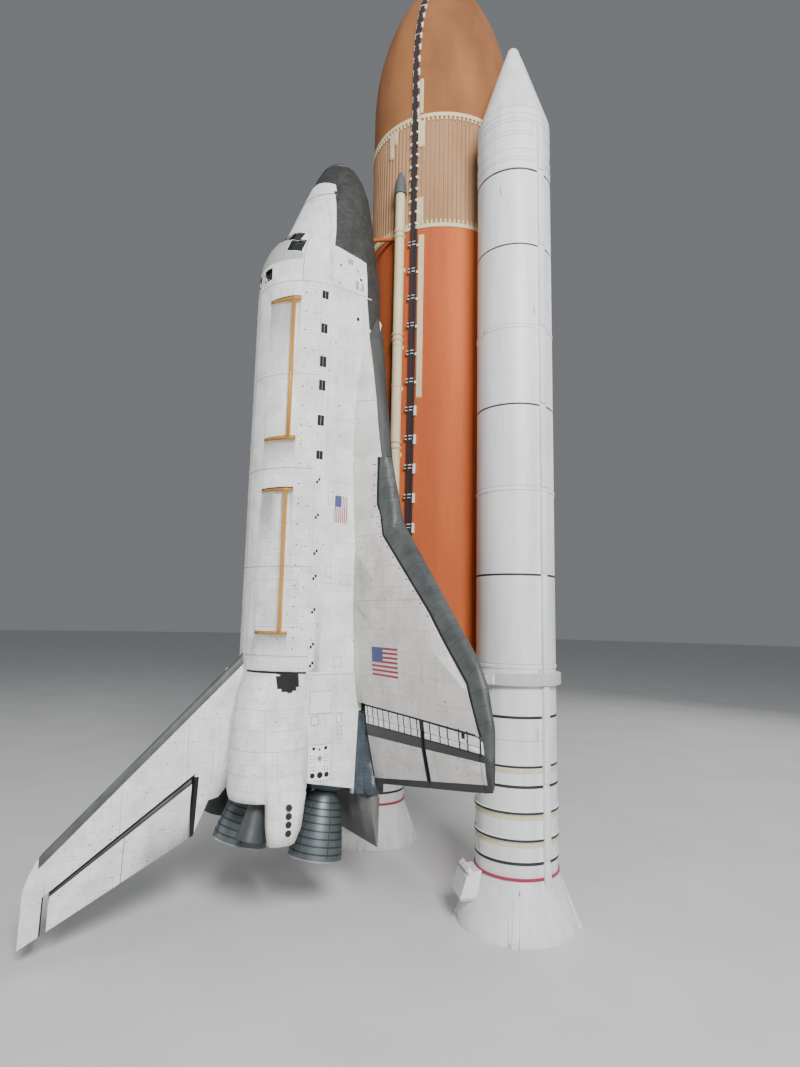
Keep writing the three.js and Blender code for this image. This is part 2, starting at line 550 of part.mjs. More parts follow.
function buildForwardFuselage() {
  addPiece(orbiter, 'nose_cap', 'carbon_grey', bodyBetween(236.6, 262 - gapInches));

  const whole = bodyBetween(262, BAY.start - gapInches);
  const modulePocket = box([296, -600, 372], [366, 600, 600]);
  const cabin = bodyBetween(SHELL.cabinStart, BAY.start + 2, SHELL.wall);
  const { station, height, radius } = HATCH;
  const hatchHole = bar([station, -130, height], [station, -60, height], radius + 1, radius + 1, 24);
  const panes = [...WINDSHIELD_PANES, ...OVERHEAD_PANES].flatMap((pane) => (
    [1, -1].map((side) => paneCutter(pane, side, -6, 9))
  ));
  const shell = without(whole, cabin, modulePocket);
  addPiece(orbiter, 'forward_fuselage_lower', 'black_tile',
    without(shell.intersect(below(SHELL.split)), hatchHole));
  addPiece(orbiter, 'forward_fuselage_upper', 'white_tile',
    without(shell.intersect(above(SHELL.split + gapInches)), ...panes));
  addPiece(orbiter, 'forward_thruster_module', 'white_tile',
    whole.intersect(box([296 + gapInches, -600, 372 + gapInches], [366 - gapInches, 600, 600])));

  // Glass lies just under the skin, one curved sheet behind each group of openings
  const under = (thick) => without(
    bodyBetween(SHELL.cabinStart + 2, SHELL.cabinEnd, SHELL.wall + gapInches),
    bodyBetween(SHELL.cabinStart, SHELL.cabinEnd + 4, SHELL.wall + thick),
  );
  const glass = under(1.4);
  addPiece(orbiter, 'windshield', 'window_glass',
    glass.intersect(box([444, -600, 400], [520, 600, 600])));
  addPiece(orbiter, 'overhead_windows', 'window_glass',
    glass.intersect(box([536, -48, 440], [564, 48, 600])));

  // The bulkhead that closes the cabin from the payload bay, with its two windows
  const bulkhead = shrunk(cabin.intersect(box([BAY.start - 11, -600, 0], [BAY.start - 1, 600, 600])), TOUCH_GAP);
  const aftPanes = [1, -1].map((side) => box([500, side > 0 ? 8 : -28, 452], [620, side > 0 ? 28 : -8, 470]));
  addPiece(orbiter, 'bay_forward_bulkhead', 'white_tile', without(bulkhead, ...aftPanes));
  addPiece(orbiter, 'aft_deck_windows', 'window_glass',
    box([BAY.start - 13, -31, 449], [BAY.start - 11 - gapInches, 31, 473]));

  // Flight deck: the floor, the instrument panel and two seats
  const inside = shrunk(cabin, TOUCH_GAP);
  const floor = inside.intersect(box([432, -600, 392], [BAY.start - 11 - gapInches * 2, 600, 396]));
  const behindGlass = bodyBetween(SHELL.cabinStart, SHELL.cabinEnd, SHELL.wall + 1.6);
  const panel = behindGlass.intersect(box([434, -60, 395], [446, 60, 430]));
  const seats = [1, -1].flatMap((side) => {
    const [near, far] = side > 0 ? [16, 36] : [-36, -16];
    return [
      box([468, near, 395], [488, far, 414]), box([486, near, 395], [492, far, 442]),
    ];
  });
  addPiece(orbiter, 'flight_deck', 'steel', joined(floor, panel, ...seats));

  const hatchDisc = bar([station, -130, height], [station, -60, height], radius, radius, 24);
  const shellOnly = without(whole, cabin);
  addPiece(orbiter, 'crew_hatch', 'white_tile', shellOnly.intersect(hatchDisc));
}

function buildMidFuselage() {
  const { start, end, radius, centre } = BAY;
  const whole = bodyBetween(start, end - gapInches);
  const trough = joined(
    bar([start - 5, 0, centre], [end + 5, 0, centre], radius, radius, 48),
    box([start - 5, -radius, centre], [end + 5, radius, 520]),
  );
  addPiece(orbiter, 'mid_fuselage', 'white_tile', without(whole.intersect(below(SILL)), trough));
  const doorSkin = without(
    whole.intersect(above(SILL + swingInches)),
    bar([start - 5, 0, centre], [end + 5, 0, centre], radius + 4, radius + 4, 48),
  );
  for (const [side, word] of [[1, 'right'], [-1, 'left']]) {
    const half = side > 0
      ? box([start + swingInches, swingInches / 2, 300], [end - swingInches, 600, 600])
      : box([start + swingInches, -600, 300], [end - swingInches, -swingInches / 2, 600]);
    const door = doorSkin.intersect(half);
    addPiece(orbiter, `bay_door_${word}`, 'white_tile', joined(door, ...doorBars(side)));
  }
}

// The gold handling bars on each door: a long beam with a curved cross piece at each end.
// Columns: first station, last station
const DOOR_BARS = [[615, 886], [982, 1240]];
const BAR = { angle: 40, crossFrom: 33, crossTo: 69, radius: 104, sink: 2, beamHeight: 9, crossHeight: 6 };

function doorBars(side) {
  const at = (station, angle, radius) => {
    const turn = THREE.MathUtils.degToRad(angle);
    return P(station, side * radius * Math.cos(turn), 396 + radius * Math.sin(turn));
  };
  const block = (stations, angles, heights) => {
    const [low, high] = [BAR.radius - BAR.sink, BAR.radius];
    return loft(angles.map((angle, i) => [
      at(stations[0], angle, low), at(stations[1], angle, low),
      at(stations[1], angle, high + heights[i]), at(stations[0], angle, high + heights[i]),
    ]));
  };
  return DOOR_BARS.flatMap(([fore, aft]) => [
    block([fore, aft], [BAR.angle - 1.3, BAR.angle + 1.3], [BAR.beamHeight, BAR.beamHeight]),
    ...[fore, aft].map((s) => block(
      [s - 3, s + 3], [BAR.crossFrom, 42, 51, 60, BAR.crossTo],
      [BAR.crossHeight + 2, BAR.crossHeight + 3, BAR.crossHeight, BAR.crossHeight - 2, 1],
    )),
  ]);
}

// Main engines: gimbal station, across, height, pitch and yaw of the axis in degrees,
// and how far the engine's bay reaches to each side and up
const ENGINES = [
  ['main_engine_top', 1445, 0, 443, 16, 0, 60, 55],
  ['main_engine_right', 1468.2, 53, 342.6, 10, 3.5, 47, 60],
  ['main_engine_left', 1468.2, -53, 342.6, 10, -3.5, 47, 60],
];
const DOME = { radius: 58, halfAngle: 40, clear: 2.6 };
const AFT_FACE = { station: 1512, height: 326, slope: 0.21 };

// Places a surface of revolution, made along +Z, on an engine's axis
function onAxis(geometry, [, station, across, height, pitch, yaw]) {
  const rad = THREE.MathUtils.degToRad;
  const aft = new THREE.Vector3(
    Math.cos(rad(pitch)) * Math.cos(rad(yaw)), Math.cos(rad(pitch)) * Math.sin(rad(yaw)), Math.sin(rad(pitch)),
  );
  const turn = new THREE.Quaternion().setFromUnitVectors(new THREE.Vector3(0, 0, 1), aft);
  geometry.applyQuaternion(turn);
  return solid(geometry.translate(station * INCH, across * INCH, height * INCH));
}

function buildEngines() {
  const rad = THREE.MathUtils.degToRad;
  const domeArc = [DOME.halfAngle, 32, 24, 16].map((angle) => (
    [DOME.radius * Math.sin(rad(angle)), DOME.radius * Math.cos(rad(angle))]
  ));
  // distance from the gimbal, outer radius of the bell
  const bell = [[58, 20.5], [72, 28.5], [92, 35], [122, 41.5], [167, 47.5]];
  const wall = 2.4;
  const profile = [
    [0, 10], [13, 10], [13, domeArc[0][1]], ...domeArc,
    ...bell.map(([distance, radius]) => [radius, distance]),
    ...bell.toReversed().map(([distance, radius]) => [radius - wall, distance + (distance < 160 ? 1 : 0)]),
    [0, 57],
  ];
  for (const engine of ENGINES) {
    addPiece(orbiter, engine[0], 'nozzle_steel', onAxis(turned(profile, 20), engine));
  }
}

// Manoeuvring pods beside the fin: station, across, height, half width, half height
// Fairing under the pods: its stations, how far above the body's skin, and the sill it starts from
const SADDLE = { front: 1310, back: 1500, proud: 1.6, sill: 417 };

const POD = [
  [1310, 50, 454, 56, 56],
  [1330, 53, 459, 59, 59],
  [1380, 62, 465, 62, 64],
  [1440, 68, 468, 65, 67],
  [1500, 72, 470, 65, 68],
  [1512, 73, 470, 62, 65],
];
// the thrusters' housing on a pod's side, in the same order
const THRUSTER_BLOCK = [
  [1462, 122, 460, 6, 24],
  [1500, 130, 461, 15, 33],
  [1552, 133, 464, 16, 28],
  [1576, 133, 467, 12, 21],
];
const OMS = { station: 1516, across: 88, height: 490, pitch: 15.8, yaw: 6.5 };

function podSolid(side) {
  const count = 20;
  const shell = loft(POD.map(([station, across, height, a, b]) => (
    Array.from({ length: count }, (_, i) => {
      const turn = (2 * Math.PI * i) / count;
      return P(station, side * (across + a * Math.cos(turn)), height + b * Math.sin(turn));
    })
  )));
  const corners = [
    [-1, -0.5], [-0.5, -1], [0.5, -1], [1, -0.5], [1, 0.5], [0.5, 1], [-0.5, 1], [-1, 0.5],
  ];
  const block = loft(THRUSTER_BLOCK.map(([station, across, height, a, b]) => (
    corners.map(([u, v]) => P(station, side * (across + a * u), height + b * v))
  )));
  return joined(shell, block);
}

// Fin: a double wedge, widest at the rudder's hinge line
const FIN = {
  rootHeight: 503, rootLead: 1280.9, rootChord: 268.5, tipChord: 108.5, sweep: 1, widest: 0.6, thick: 0.0525,
  bayLow: 576.5, rudderLow: 581, rudderHigh: 782, bayHigh: 790,
};
const finSpan = FIN_TIP_HEIGHT - FIN.rootHeight;
const finChord = (height) => FIN.rootChord
  - ((FIN.rootChord - FIN.tipChord) * (height - FIN.rootHeight)) / finSpan;
const finLead = (height) => FIN.rootLead + FIN.sweep * (height - FIN.rootHeight);
const finHinge = (height) => finLead(height) + FIN.widest * finChord(height);
const finHalfThick = (height) => FIN.thick * finChord(height);

function finSection(height, lead = finLead(height)) {
  const chord = finLead(height) + finChord(height) - lead;
  const half = finHalfThick(height);
  const hinge = finHinge(height);
  return [
    [lead, 0.4], [lead + chord * 0.03, half * 0.28], [lead + chord * 0.16, half * 0.55], [hinge, half],
    [lead + chord, 0.8], [lead + chord, -0.8], [hinge, -half], [lead + chord * 0.16, -half * 0.55],
    [lead + chord * 0.03, -half * 0.28], [lead, -0.4],
  ].map(([station, across]) => P(station, across, height));
}

// A cone about the rudder's hinge line whose radius is a share of the fin's half thickness
function hingeCone(share, extra, low, high) {
  return bar(
    [finHinge(low), 0, low], [finHinge(high), 0, high],
    finHalfThick(low) * share + extra, finHalfThick(high) * share + extra, 32,
  );
}

function buildFin() {
  const foot = 497;
  const tipCut = (height) => Math.max(0, height - 796) ** 2 * 0.055;
  const outline = loft([foot, FIN.rootHeight, 640, 796, 804, 811, 816, FIN_TIP_HEIGHT].map((height) => (
    finSection(height, finLead(height) + tipCut(height))
  )));
  // Below the rudder the trailing edge steps forward, clear of the top engine
  const step = [
    [1582, 571], [1527, 550], [1524, 533], [1507, 519], [1490, 504], [1480, 480], [1750, 480], [1750, 571],
  ];
  const whole = outline.subtract(solid(plate(step, -60, 60).rotateX(Math.PI / 2)));
  const { bayLow, rudderLow, rudderHigh, bayHigh } = FIN;
  const behindHinge = (shift, low, high) => {
    const outline = [
      [finHinge(low) + shift, low], [finHinge(low) + 400, low],
      [finHinge(high) + 400, high], [finHinge(high) + shift, high],
    ];
    const geometry = plate(outline, -60, 60);
    return solid(geometry.rotateX(Math.PI / 2));
  };
  const cove = hingeCone(1.26, 0.6, bayLow - 20, bayHigh + 20).intersect(
    box([0, -60, bayLow], [everything.high, 60, bayHigh]),
  );
  const rudderBay = joined(cove, behindHinge(0, bayLow, bayHigh));
  addPiece(orbiter, 'fin', 'white_tile',
    without(whole, rudderBay, bodyBetween(1200, 1539, -gapInches)));

  const [low, high] = [rudderLow, rudderHigh];
  const slab = (from, to) => box([0, -60, from], [everything.high, 60, to]);
  addPiece(orbiter, 'rudder_hinge_seal', 'steel',
    hingeCone(0.72, 0, rudderLow - 20, rudderHigh + 20).intersect(slab(low, high)));
  const panels = whole.intersect(behindHinge(0, low, high)).subtract(hingeCone(0.72, 0.7, low - 20, high + 20));
  for (const [side, word] of [[1, 'right'], [-1, 'left']]) {
    const half = side > 0
      ? box([0, swingInches / 2, 0], [everything.high, 60, 1000])
      : box([0, -60, 0], [everything.high, -swingInches / 2, 1000]);
    addPiece(orbiter, `speed_brake_${word}`, 'white_tile', panels.intersect(half));
  }
}

// Wing sections: across, leading edge, trailing edge, height of the two edges, greatest thickness
const WING = [
  [96, 932, 1508.2, 285.2, 286.5, 62],
  [182, 1018, 1493, 288, 291, 54],
  [312.5, 1148.5, 1469.8, 297, 299, 37],
  [430, 1266, 1449, 305, 306, 21.5],
  [452, 1300, 1445, 307, 307.5, 18],
  [468.3, 1352, 1442.2, 308.5, 308.5, 10],
];
// The strake ahead of the wing's root: across, leading edge, thickness
// Station where the wing's carbon leading edge starts
const EDGE_FRONT = 912;

const STRAKE = [
  [96, 608, 70], [105, 652, 67], [130, 770, 44], [144, 833, 36], [158, 905, 30], [172, 950, 30],
  [186, 990, 32], [200, 1032, 34],
];
const STRAKE_END = 1300;
// share of the chord, share of the thickness above and below the chord line
const AIRFOIL = [
  [0.02, 0.3, 0.15], [0.06, 0.47, 0.21], [0.14, 0.63, 0.25], [0.28, 0.74, 0.26], [0.45, 0.74, 0.26],
  [0.65, 0.62, 0.25], [0.82, 0.42, 0.2], [1, 0.04, 0.04],
];
const HINGE = { station: 1387, inner: 134, split: 312.5, outer: 451 };
const ELEVON_GAP = 5; // the wing's dihedral carries the elevons sideways as they swing

function wingRow(across) {
  const after = WING.findIndex((row) => row[0] >= across);
  const [low, high] = [WING[after - 1], WING[after]];
  const share = (across - low[0]) / (high[0] - low[0]);
  return low.map((value, i) => value + (high[i] - value) * share);
}

function wingThicknessAt(across, station) {
  const [, lead, trail, leadHeight, trailHeight, thick] = wingRow(across);
  const share = (station - lead) / (trail - lead);
  const after = AIRFOIL.findIndex((row) => row[0] >= share);
  const [low, high] = [AIRFOIL[after - 1], AIRFOIL[after]];
  const t = (share - low[0]) / (high[0] - low[0]);
  const chordHeight = leadHeight + (trailHeight - leadHeight) * share;
  return {
    top: chordHeight + thick * (low[1] + (high[1] - low[1]) * t),
    bottom: chordHeight - thick * (low[2] + (high[2] - low[2]) * t),
  };
}

function wingSection(side, [across, lead, trail, leadHeight, trailHeight, thick]) {
  const chord = trail - lead;
  const lineAt = (share) => leadHeight + (trailHeight - leadHeight) * share;
  const upper = AIRFOIL.map(([share, up]) => P(lead + chord * share, side * across, lineAt(share) + up * thick));
  const lower = AIRFOIL.map(([share, , down]) => (
    P(lead + chord * share, side * across, lineAt(share) - down * thick)
  ));
  return [P(lead, side * across, leadHeight), ...upper, ...lower.toReversed()];
}

function wingSolid(side) {
  const strake = STRAKE.map(([across, lead, thick]) => (
    wingSection(side, [across, lead, STRAKE_END, 291, 289, thick])
  ));
  return joined(loft(WING.map((row) => wingSection(side, row))), loft(strake));
}

// Round nose about an elevon's hinge line, from the wing's own thickness there
function elevonHinge(side, from, to, extra) {
  const past = 20; // the cone runs past both ends, to be cut square
  const [a, b] = [from, to].map((across) => {
    const { top, bottom } = wingThicknessAt(across, HINGE.station);
    return { middle: (top + bottom) / 2, half: (top - bottom) / 2 };
  });
  const [from1, to1] = [from - past, to + past];
  const at = (key, across) => a[key] + ((b[key] - a[key]) * (across - from)) / (to - from);
  return bar(
    [HINGE.station, side * from1, at('middle', from1)], [HINGE.station, side * to1, at('middle', to1)],
    at('half', from1) + extra, at('half', to1) + extra, 32,
  );
}

function buildWing(side, word) {
  const whole = wingSolid(side);
  const span = (from, to, fore, aft) => box(
    [fore, side > 0 ? from : -to, 0], [aft, side > 0 ? to : -from, 600],
  );
  const { station, inner, split, outer } = HINGE;
  const bodyWall = bodyBetween(262, 1539, -gapInches);

  // Leading edge shell: a band along the 45 degree edge and the end of the strake
  const bandPoints = [
    [EDGE_FRONT, 147], [1003, 152], [1063, 180], [1202, 328], [1302, 419], [1369, 444], [1376, 457],
    [1400, 461], [1400, 520], [EDGE_FRONT, 520],
  ];
  const band = solid(plate(bandPoints.map(([s, a]) => [s, side * a]), 200, 400));
  const edgeCut = band.translate([-TOUCH_GAP, side * TOUCH_GAP, 0])
    .intersect(box([EDGE_FRONT + gapInches, -600, 200], [1500, 600, 400]));

  const bay = joined(
    span(inner, outer, station, 1600),
    elevonHinge(side, inner, split, 1.3).intersect(span(inner, split, station - 60, 1600)),
    elevonHinge(side, split, outer, 1.3).intersect(span(split, outer, station - 60, 1600)),
  );
  const stub = span(90, inner + 0.3, 1362, 1600);
  addPiece(orbiter, `wing_${word}`, 'white_tile',
    without(whole, band, bay, bodyWall, stub));
  addPiece(orbiter, `wing_edge_${word}`, 'carbon_grey', whole.intersect(edgeCut));

  const elevons = [['inner', inner + 0.7, split - ELEVON_GAP / 2],
    ['outer', split + ELEVON_GAP / 2, outer - 1.8]];
  for (const [place, from, to] of elevons) {
    const ends = place === 'inner' ? [inner, split] : [split, outer];
    const nose = elevonHinge(side, ...ends, -0.02).intersect(span(from, to, station - 60, station + 40));
    const panel = whole.intersect(span(from, to, station, 1600));
    addPiece(orbiter, `elevon_${word}_${place}`, 'white_tile', joined(panel, nose));
  }
}

// Body flap under the engines
const FLAP = { station: 1532, height: 287, radius: 9.5, halfWidth: 126, trail: 1613, trailHeight: 280 };

function flapSolid() {
  const { station, height, radius, halfWidth, trail, trailHeight } = FLAP;
  const outline = [
    [station, height + radius], [trail, trailHeight + 1.2], [trail, trailHeight - 1.2],
    [station, height - radius],
  ];
  const wedge = solid(plate(outline, -halfWidth, halfWidth).rotateX(Math.PI / 2));
  return joined(wedge, bar([station, -halfWidth, height], [station, halfWidth, height], radius, radius, 24));
}

function buildAftFuselage() {
  const start = BAY.end;
  const whole = bodyBetween(start, 1539);
  const { station, height, slope } = AFT_FACE;
  const face = (z) => station - slope * (z - height);
  const behind = solid(plate([
    [face(200), 200], [1700, 200], [1700, 600], [face(600), 600],
  ], -300, 300).rotateX(Math.PI / 2));
  const flap = FLAP;
  const stubs = [1, -1].map((side) => {
    const ring = (s, wide, top, edge) => [
      P(s, side * 95, 271), P(s, side * (wide - 3), 271), P(s, side * wide, 274),
      P(s, side * wide, edge), P(s, side * (wide + 104) / 2, (edge + top) / 2 + 4), P(s, side * 104, top),
      P(s, side * 95, top),
    ];
    return loft([
      ring(1367, 108, 300, 294), ring(1386, 131, 311, 298), ring(1451, 131, 316, 290), ring(1522, 131, 322, 280),
    ]);
  });
  const shelf = box([1490, -flap.halfWidth - 5, 276], [1522, flap.halfWidth + 5, 303]);
  const flapBay = joined(
    bar([flap.station, -129, flap.height], [flap.station, 129, flap.height], flap.radius + 1.4, flap.radius + 1.4, 32),
    box([flap.station - 1, -129, 200], [1700, 129, 400]),
  );
  const cavities = ENGINES.map((engine) => {
    const [, s, a, h, , , reach, rise] = engine;
    const ball = onAxis(new THREE.SphereGeometry((DOME.radius + DOME.clear) * INCH, 20, 10), engine);
    return ball.intersect(box([s + 2.5, a - reach, h - 60], [s + 100, a + reach, h + rise]));
  });
  const bodyWithStubs = joined(without(whole, behind), shelf, ...stubs);
  addPiece(orbiter, 'aft_fuselage', 'white_tile', without(bodyWithStubs, ...cavities, flapBay));

  addPiece(orbiter, 'body_flap', 'black_tile', flapSolid());

  const bodyWall = bodyBetween(1200, 1539, -gapInches);
  const finRoot = loft([430, FIN.rootHeight, 700].map((z) => (
    finSection(z).map((p) => p.clone().multiply(new THREE.Vector3(1, 1.15, 1)))
  )));
  const finSlab = box([1200, -16, 400], [1700, 16, 700]);
  const saddle = bodyBetween(SADDLE.front, SADDLE.back, -SADDLE.proud).intersect(
    box([SADDLE.front, -600, SADDLE.sill], [SADDLE.back, 600, 600]),
  );
  const engineWay = box([1490, -53, 300], [1700, 53, 700]);
  for (const [side, word] of [[1, 'right'], [-1, 'left']]) {
    const axis = ['', OMS.station, side * OMS.across, OMS.height, OMS.pitch, side * OMS.yaw];
    const socket = onAxis(turned([[0, -12], [14, -12], [17, 6], [26, 60], [0, 60]], 24), axis);
    addPiece(orbiter, `manoeuvring_pod_${word}`, 'white_tile',
      without(joined(podSolid(side), saddle.intersect(box([1300, side > 0 ? 0 : -600, 0], [1600, side > 0 ? 600 : 0, 600]))),
        bodyWall, finRoot, finSlab, engineWay, socket));
    addPiece(orbiter, `manoeuvring_nozzle_${word}`, 'nozzle_steel', onAxis(turned([
      [0, -9], [12, -9], [14, 6], [18, 32], [22.5, 62], [21, 62], [16.5, 32], [12, 10], [5, 2], [0, 1],
    ], 18), axis));
  }
}

buildTank();
buildFeedline();
buildTray();
buildAttachments();
buildBooster(1, 'right');
buildBooster(-1, 'left');
buildForwardFuselage();
buildMidFuselage();
buildEngines();
buildFin();
buildWing(1, 'right');
buildWing(-1, 'left');
buildAftFuselage();

export default stack;
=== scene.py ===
import json
import math

import bmesh
import bpy
from mathutils import Matrix, Vector


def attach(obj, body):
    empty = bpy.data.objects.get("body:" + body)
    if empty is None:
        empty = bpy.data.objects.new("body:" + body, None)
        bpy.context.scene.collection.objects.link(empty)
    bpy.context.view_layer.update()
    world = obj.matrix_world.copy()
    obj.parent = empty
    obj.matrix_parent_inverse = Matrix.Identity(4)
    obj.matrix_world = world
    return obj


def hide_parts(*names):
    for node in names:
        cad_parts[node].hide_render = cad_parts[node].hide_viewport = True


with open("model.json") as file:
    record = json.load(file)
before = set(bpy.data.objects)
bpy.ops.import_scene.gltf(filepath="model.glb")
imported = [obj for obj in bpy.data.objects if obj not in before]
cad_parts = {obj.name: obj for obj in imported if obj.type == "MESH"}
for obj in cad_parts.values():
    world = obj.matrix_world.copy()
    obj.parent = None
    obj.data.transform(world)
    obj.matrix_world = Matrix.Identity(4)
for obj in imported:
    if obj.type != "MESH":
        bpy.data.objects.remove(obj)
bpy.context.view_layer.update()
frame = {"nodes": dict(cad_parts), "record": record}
cad = frame["nodes"]

# The camera. It stands off the right wing, a little behind the orbiter's back, with its lens near
# the height of the wing's elbow, and looks slightly up so that the tank's nose leaves the frame.
LENS_PLACE = Vector((14.5100, -6.9324, 6.6006))
TURN, RISE, ROLL = (math.radians(angle) for angle in (57.0946, -7.754, 1.1767))
FILM_SIDE, FOCAL_LENGTH, SIGHT = 36, 21.416, 1000
back = Vector((math.sin(TURN) * math.cos(RISE), -math.cos(TURN) * math.cos(RISE), math.sin(RISE)))
level = Vector((math.cos(TURN), math.sin(TURN), 0))
upright = back.cross(level)
right = level * math.cos(ROLL) + upright * math.sin(ROLL)
up = upright * math.cos(ROLL) - level * math.sin(ROLL)
camera_data = bpy.data.cameras.new("camera")
camera_data.sensor_fit = "VERTICAL"
camera_data.sensor_width = FILM_SIDE
camera_data.sensor_height = FILM_SIDE
camera_data.lens = FOCAL_LENGTH
camera_data.clip_end = SIGHT
camera = bpy.data.objects.new("camera", camera_data)
camera.matrix_world = Matrix((right, up, back)).transposed().to_4x4()
camera.location = LENS_PLACE
bpy.context.collection.objects.link(camera)
bpy.context.scene.camera = camera


# The floor and the light. A wide pale floor fades into a pale room, with a large soft lamp over
# the camera's shoulder, a weaker one across from it and one behind that lights the far edges.
def shade(kind, *feeds, tree=None, **settings):
    """A shader node's outputs, after it is set and its sockets are fed in order from values or
    outputs. It goes into the tree of the outputs that feed it, unless one is given."""
    tree = tree or next(feed.id_data for feed in feeds if isinstance(feed, bpy.types.NodeSocket))
    made = tree.nodes.new("ShaderNode" + kind)
    for setting, value in settings.items():
        setattr(made, setting, value)
    for socket, feed in zip(made.inputs, feeds):
        if isinstance(feed, bpy.types.NodeSocket):
            tree.links.new(feed, socket)
        elif feed is not None:
            socket.default_value = feed
    return made.outputs


def finish(name, roughness, metallic=0.0):
    """An empty finish: the material, its shader and the object's own coordinates."""
    material = bpy.data.materials.new(name)
    material.use_nodes = True
    shader = material.node_tree.nodes["Principled BSDF"]
    shader.inputs["Roughness"].default_value = roughness
    shader.inputs["Metallic"].default_value = metallic
    return material, shader, shade("TexCoord", tree=material.node_tree)[3]


def fed(shader, name, output):
    """Feeds one of the shader's inputs."""
    shader.id_data.links.new(output, shader.inputs[name])


def mixed(mask, under, over, way="MIX"):
    """Two colours mixed by a mask."""
    feeds = (mask, None, None, None, None, None, under, over)
    return shade("Mix", *feeds, data_type="RGBA", blend_type=way)[2]


def between(value, low, high, to_low=0.0, to_high=1.0):
    """A value spread from one range over another, held at both ends."""
    return shade("MapRange", value, low, high, to_low, to_high)[0]


def clouded(place, scale, detail=3.0, roughness=0.5):
    """Soft noise between 0 and 1."""
    return shade("TexNoise", place, None, scale, detail, roughness)[0]


def floor_finish():
    material, shader, place = finish("pale_floor", 0.6)
    tone = between(clouded(place, 0.35, 4.0), 0.35, 0.65)
    fed(shader, "Base Color", mixed(tone, (0.66, 0.66, 0.65, 1), (0.71, 0.71, 0.70, 1)))
    return material


FLOOR_RADIUS, FLOOR_LEVEL = 260, -0.002
floor_work = bmesh.new()
bmesh.ops.create_circle(floor_work, cap_ends=True, segments=64, radius=FLOOR_RADIUS)
bmesh.ops.translate(floor_work, verts=floor_work.verts, vec=(0, 0, FLOOR_LEVEL))
floor_mesh = bpy.data.meshes.new("floor")
floor_work.to_mesh(floor_mesh)
floor_work.free()
floor_mesh.materials.append(floor_finish())
floor = bpy.data.objects.new("floor", floor_mesh)
bpy.context.collection.objects.link(floor)

room = bpy.data.worlds.new("pale_room")
room.use_nodes = True
room_light = room.node_tree.nodes["Background"]
room_light.inputs["Color"].default_value = (0.50, 0.52, 0.55, 1)
room_light.inputs["Strength"].default_value = 0.36
bpy.context.scene.world = room

STACK_MIDDLE = Vector((0, 0.5, 12))
# Where each lamp stands, its side in metres and its power in watts
LAMPS = {
    "key": ((36, -10, 30), 14, 27000),
    "fill": ((-24, -36, 16), 26, 3800),
    "rim": ((-8, 40, 26), 24, 5000),
}
for word, (stand, side, power) in LAMPS.items():
    lamp_data = bpy.data.lights.new(word + "_lamp", "AREA")
    lamp_data.shape = "SQUARE"
    lamp_data.size = side
    lamp_data.energy = power
    lamp = bpy.data.objects.new(word + "_lamp", lamp_data)
    lamp.location = stand
    lamp.rotation_euler = (STACK_MIDDLE - Vector(stand)).to_track_quat("-Z", "Y").to_euler()
    bpy.context.collection.objects.link(lamp)


# Tank's nose and oxygen tank: a painted spike on an aluminium ogive under sprayed foam, which has
# darkened to brown. The tank stands on no feet; the boosters carry it. Sizes are real inches at
# half scale, and a station is a distance down from a point above the nose.
INCH = 0.0127
TANK_Y = 293.75 * INCH
TANK_RADIUS = 165.5
FLOOR_STATION = 2473.64
NOSE_START, OGIVE_START, OGIVE_END, OGIVE_RADIUS = 322.5, 371, 745, 612
OXYGEN_END = 852.8
OGIVE_STEPS = 28


def tank_up(station):
    return (FLOOR_STATION - station) * INCH


def ogive(station):
    """The tank's radius at a station, from the one arc that its nose is drawn with."""
    drop = max(0, OGIVE_END - station)
    return TANK_RADIUS - OGIVE_RADIUS + math.sqrt(OGIVE_RADIUS ** 2 - drop ** 2)


def tank_scaled(points):
    """(radius, tank station) pairs in inches as (radius, height) pairs in metres."""
    return [(radius * INCH, tank_up(station)) for radius, station in points]


def turned(profile, middle=(0, 0), steps=96):
    """A shell of revolution about a standing axis, from (radius, height) pairs."""
    work = bmesh.new()
    line = [work.verts.new((radius, 0, height)) for radius, height in profile]
    edges = [work.edges.new(pair) for pair in zip(line, line[1:])]
    bmesh.ops.spin(work, geom=line + edges, axis=(0, 0, 1), angle=math.tau, steps=steps, use_merge=True)
    bmesh.ops.remove_doubles(work, verts=work.verts, dist=1e-5)
    bmesh.ops.recalc_face_normals(work, faces=work.faces)
    bmesh.ops.translate(work, verts=work.verts, vec=(*middle, 0))
    return work


def shown(work, name, body, finishes, stands_for=(), crease=35):
    """Turns a finished mesh into a piece that rides on a body and stands for CAD nodes."""
    mesh = bpy.data.meshes.new(name)
    work.to_mesh(mesh)
    work.free()
    mesh.shade_smooth()
    mesh.set_sharp_from_angle(angle=math.radians(crease))
    for one in finishes:
        mesh.materials.append(one)
    piece = bpy.data.objects.new(name, mesh)
    bpy.context.collection.objects.link(piece)
    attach(piece, body)
    if stands_for:
        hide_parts(*stands_for)


def stretched(place, *factors):
    """Coordinates scaled along each axis."""
    return shade("Mapping", place, None, None, factors)[0]


def raised(shader, height, distance, strength):
    """Gives the shader a bump from a height between 0 and 1."""
    fed(shader, "Normal", shade("Bump", strength, distance, None, height)[0])


def foam(name, tone, deep, stretch):
    """Sprayed foam: cloudy tone in tall drifts, and a fine orange-peel surface."""
    material, shader, place = finish(name, 0.85)
    drift = clouded(stretched(place, 1, 1, stretch), 0.9, 4.0)
    peel = clouded(place, 28.0, 4.0, 0.65)
    colour = mixed(between(drift, 0.35, 0.68), deep, tone)
    grain = between(peel, 0.3, 0.7, 0.88, 1.08)
    colour = mixed(1.0, colour, grain, "MULTIPLY")
    fed(shader, "Base Color", colour)
    raised(shader, peel, 0.006, 0.5)
    return material


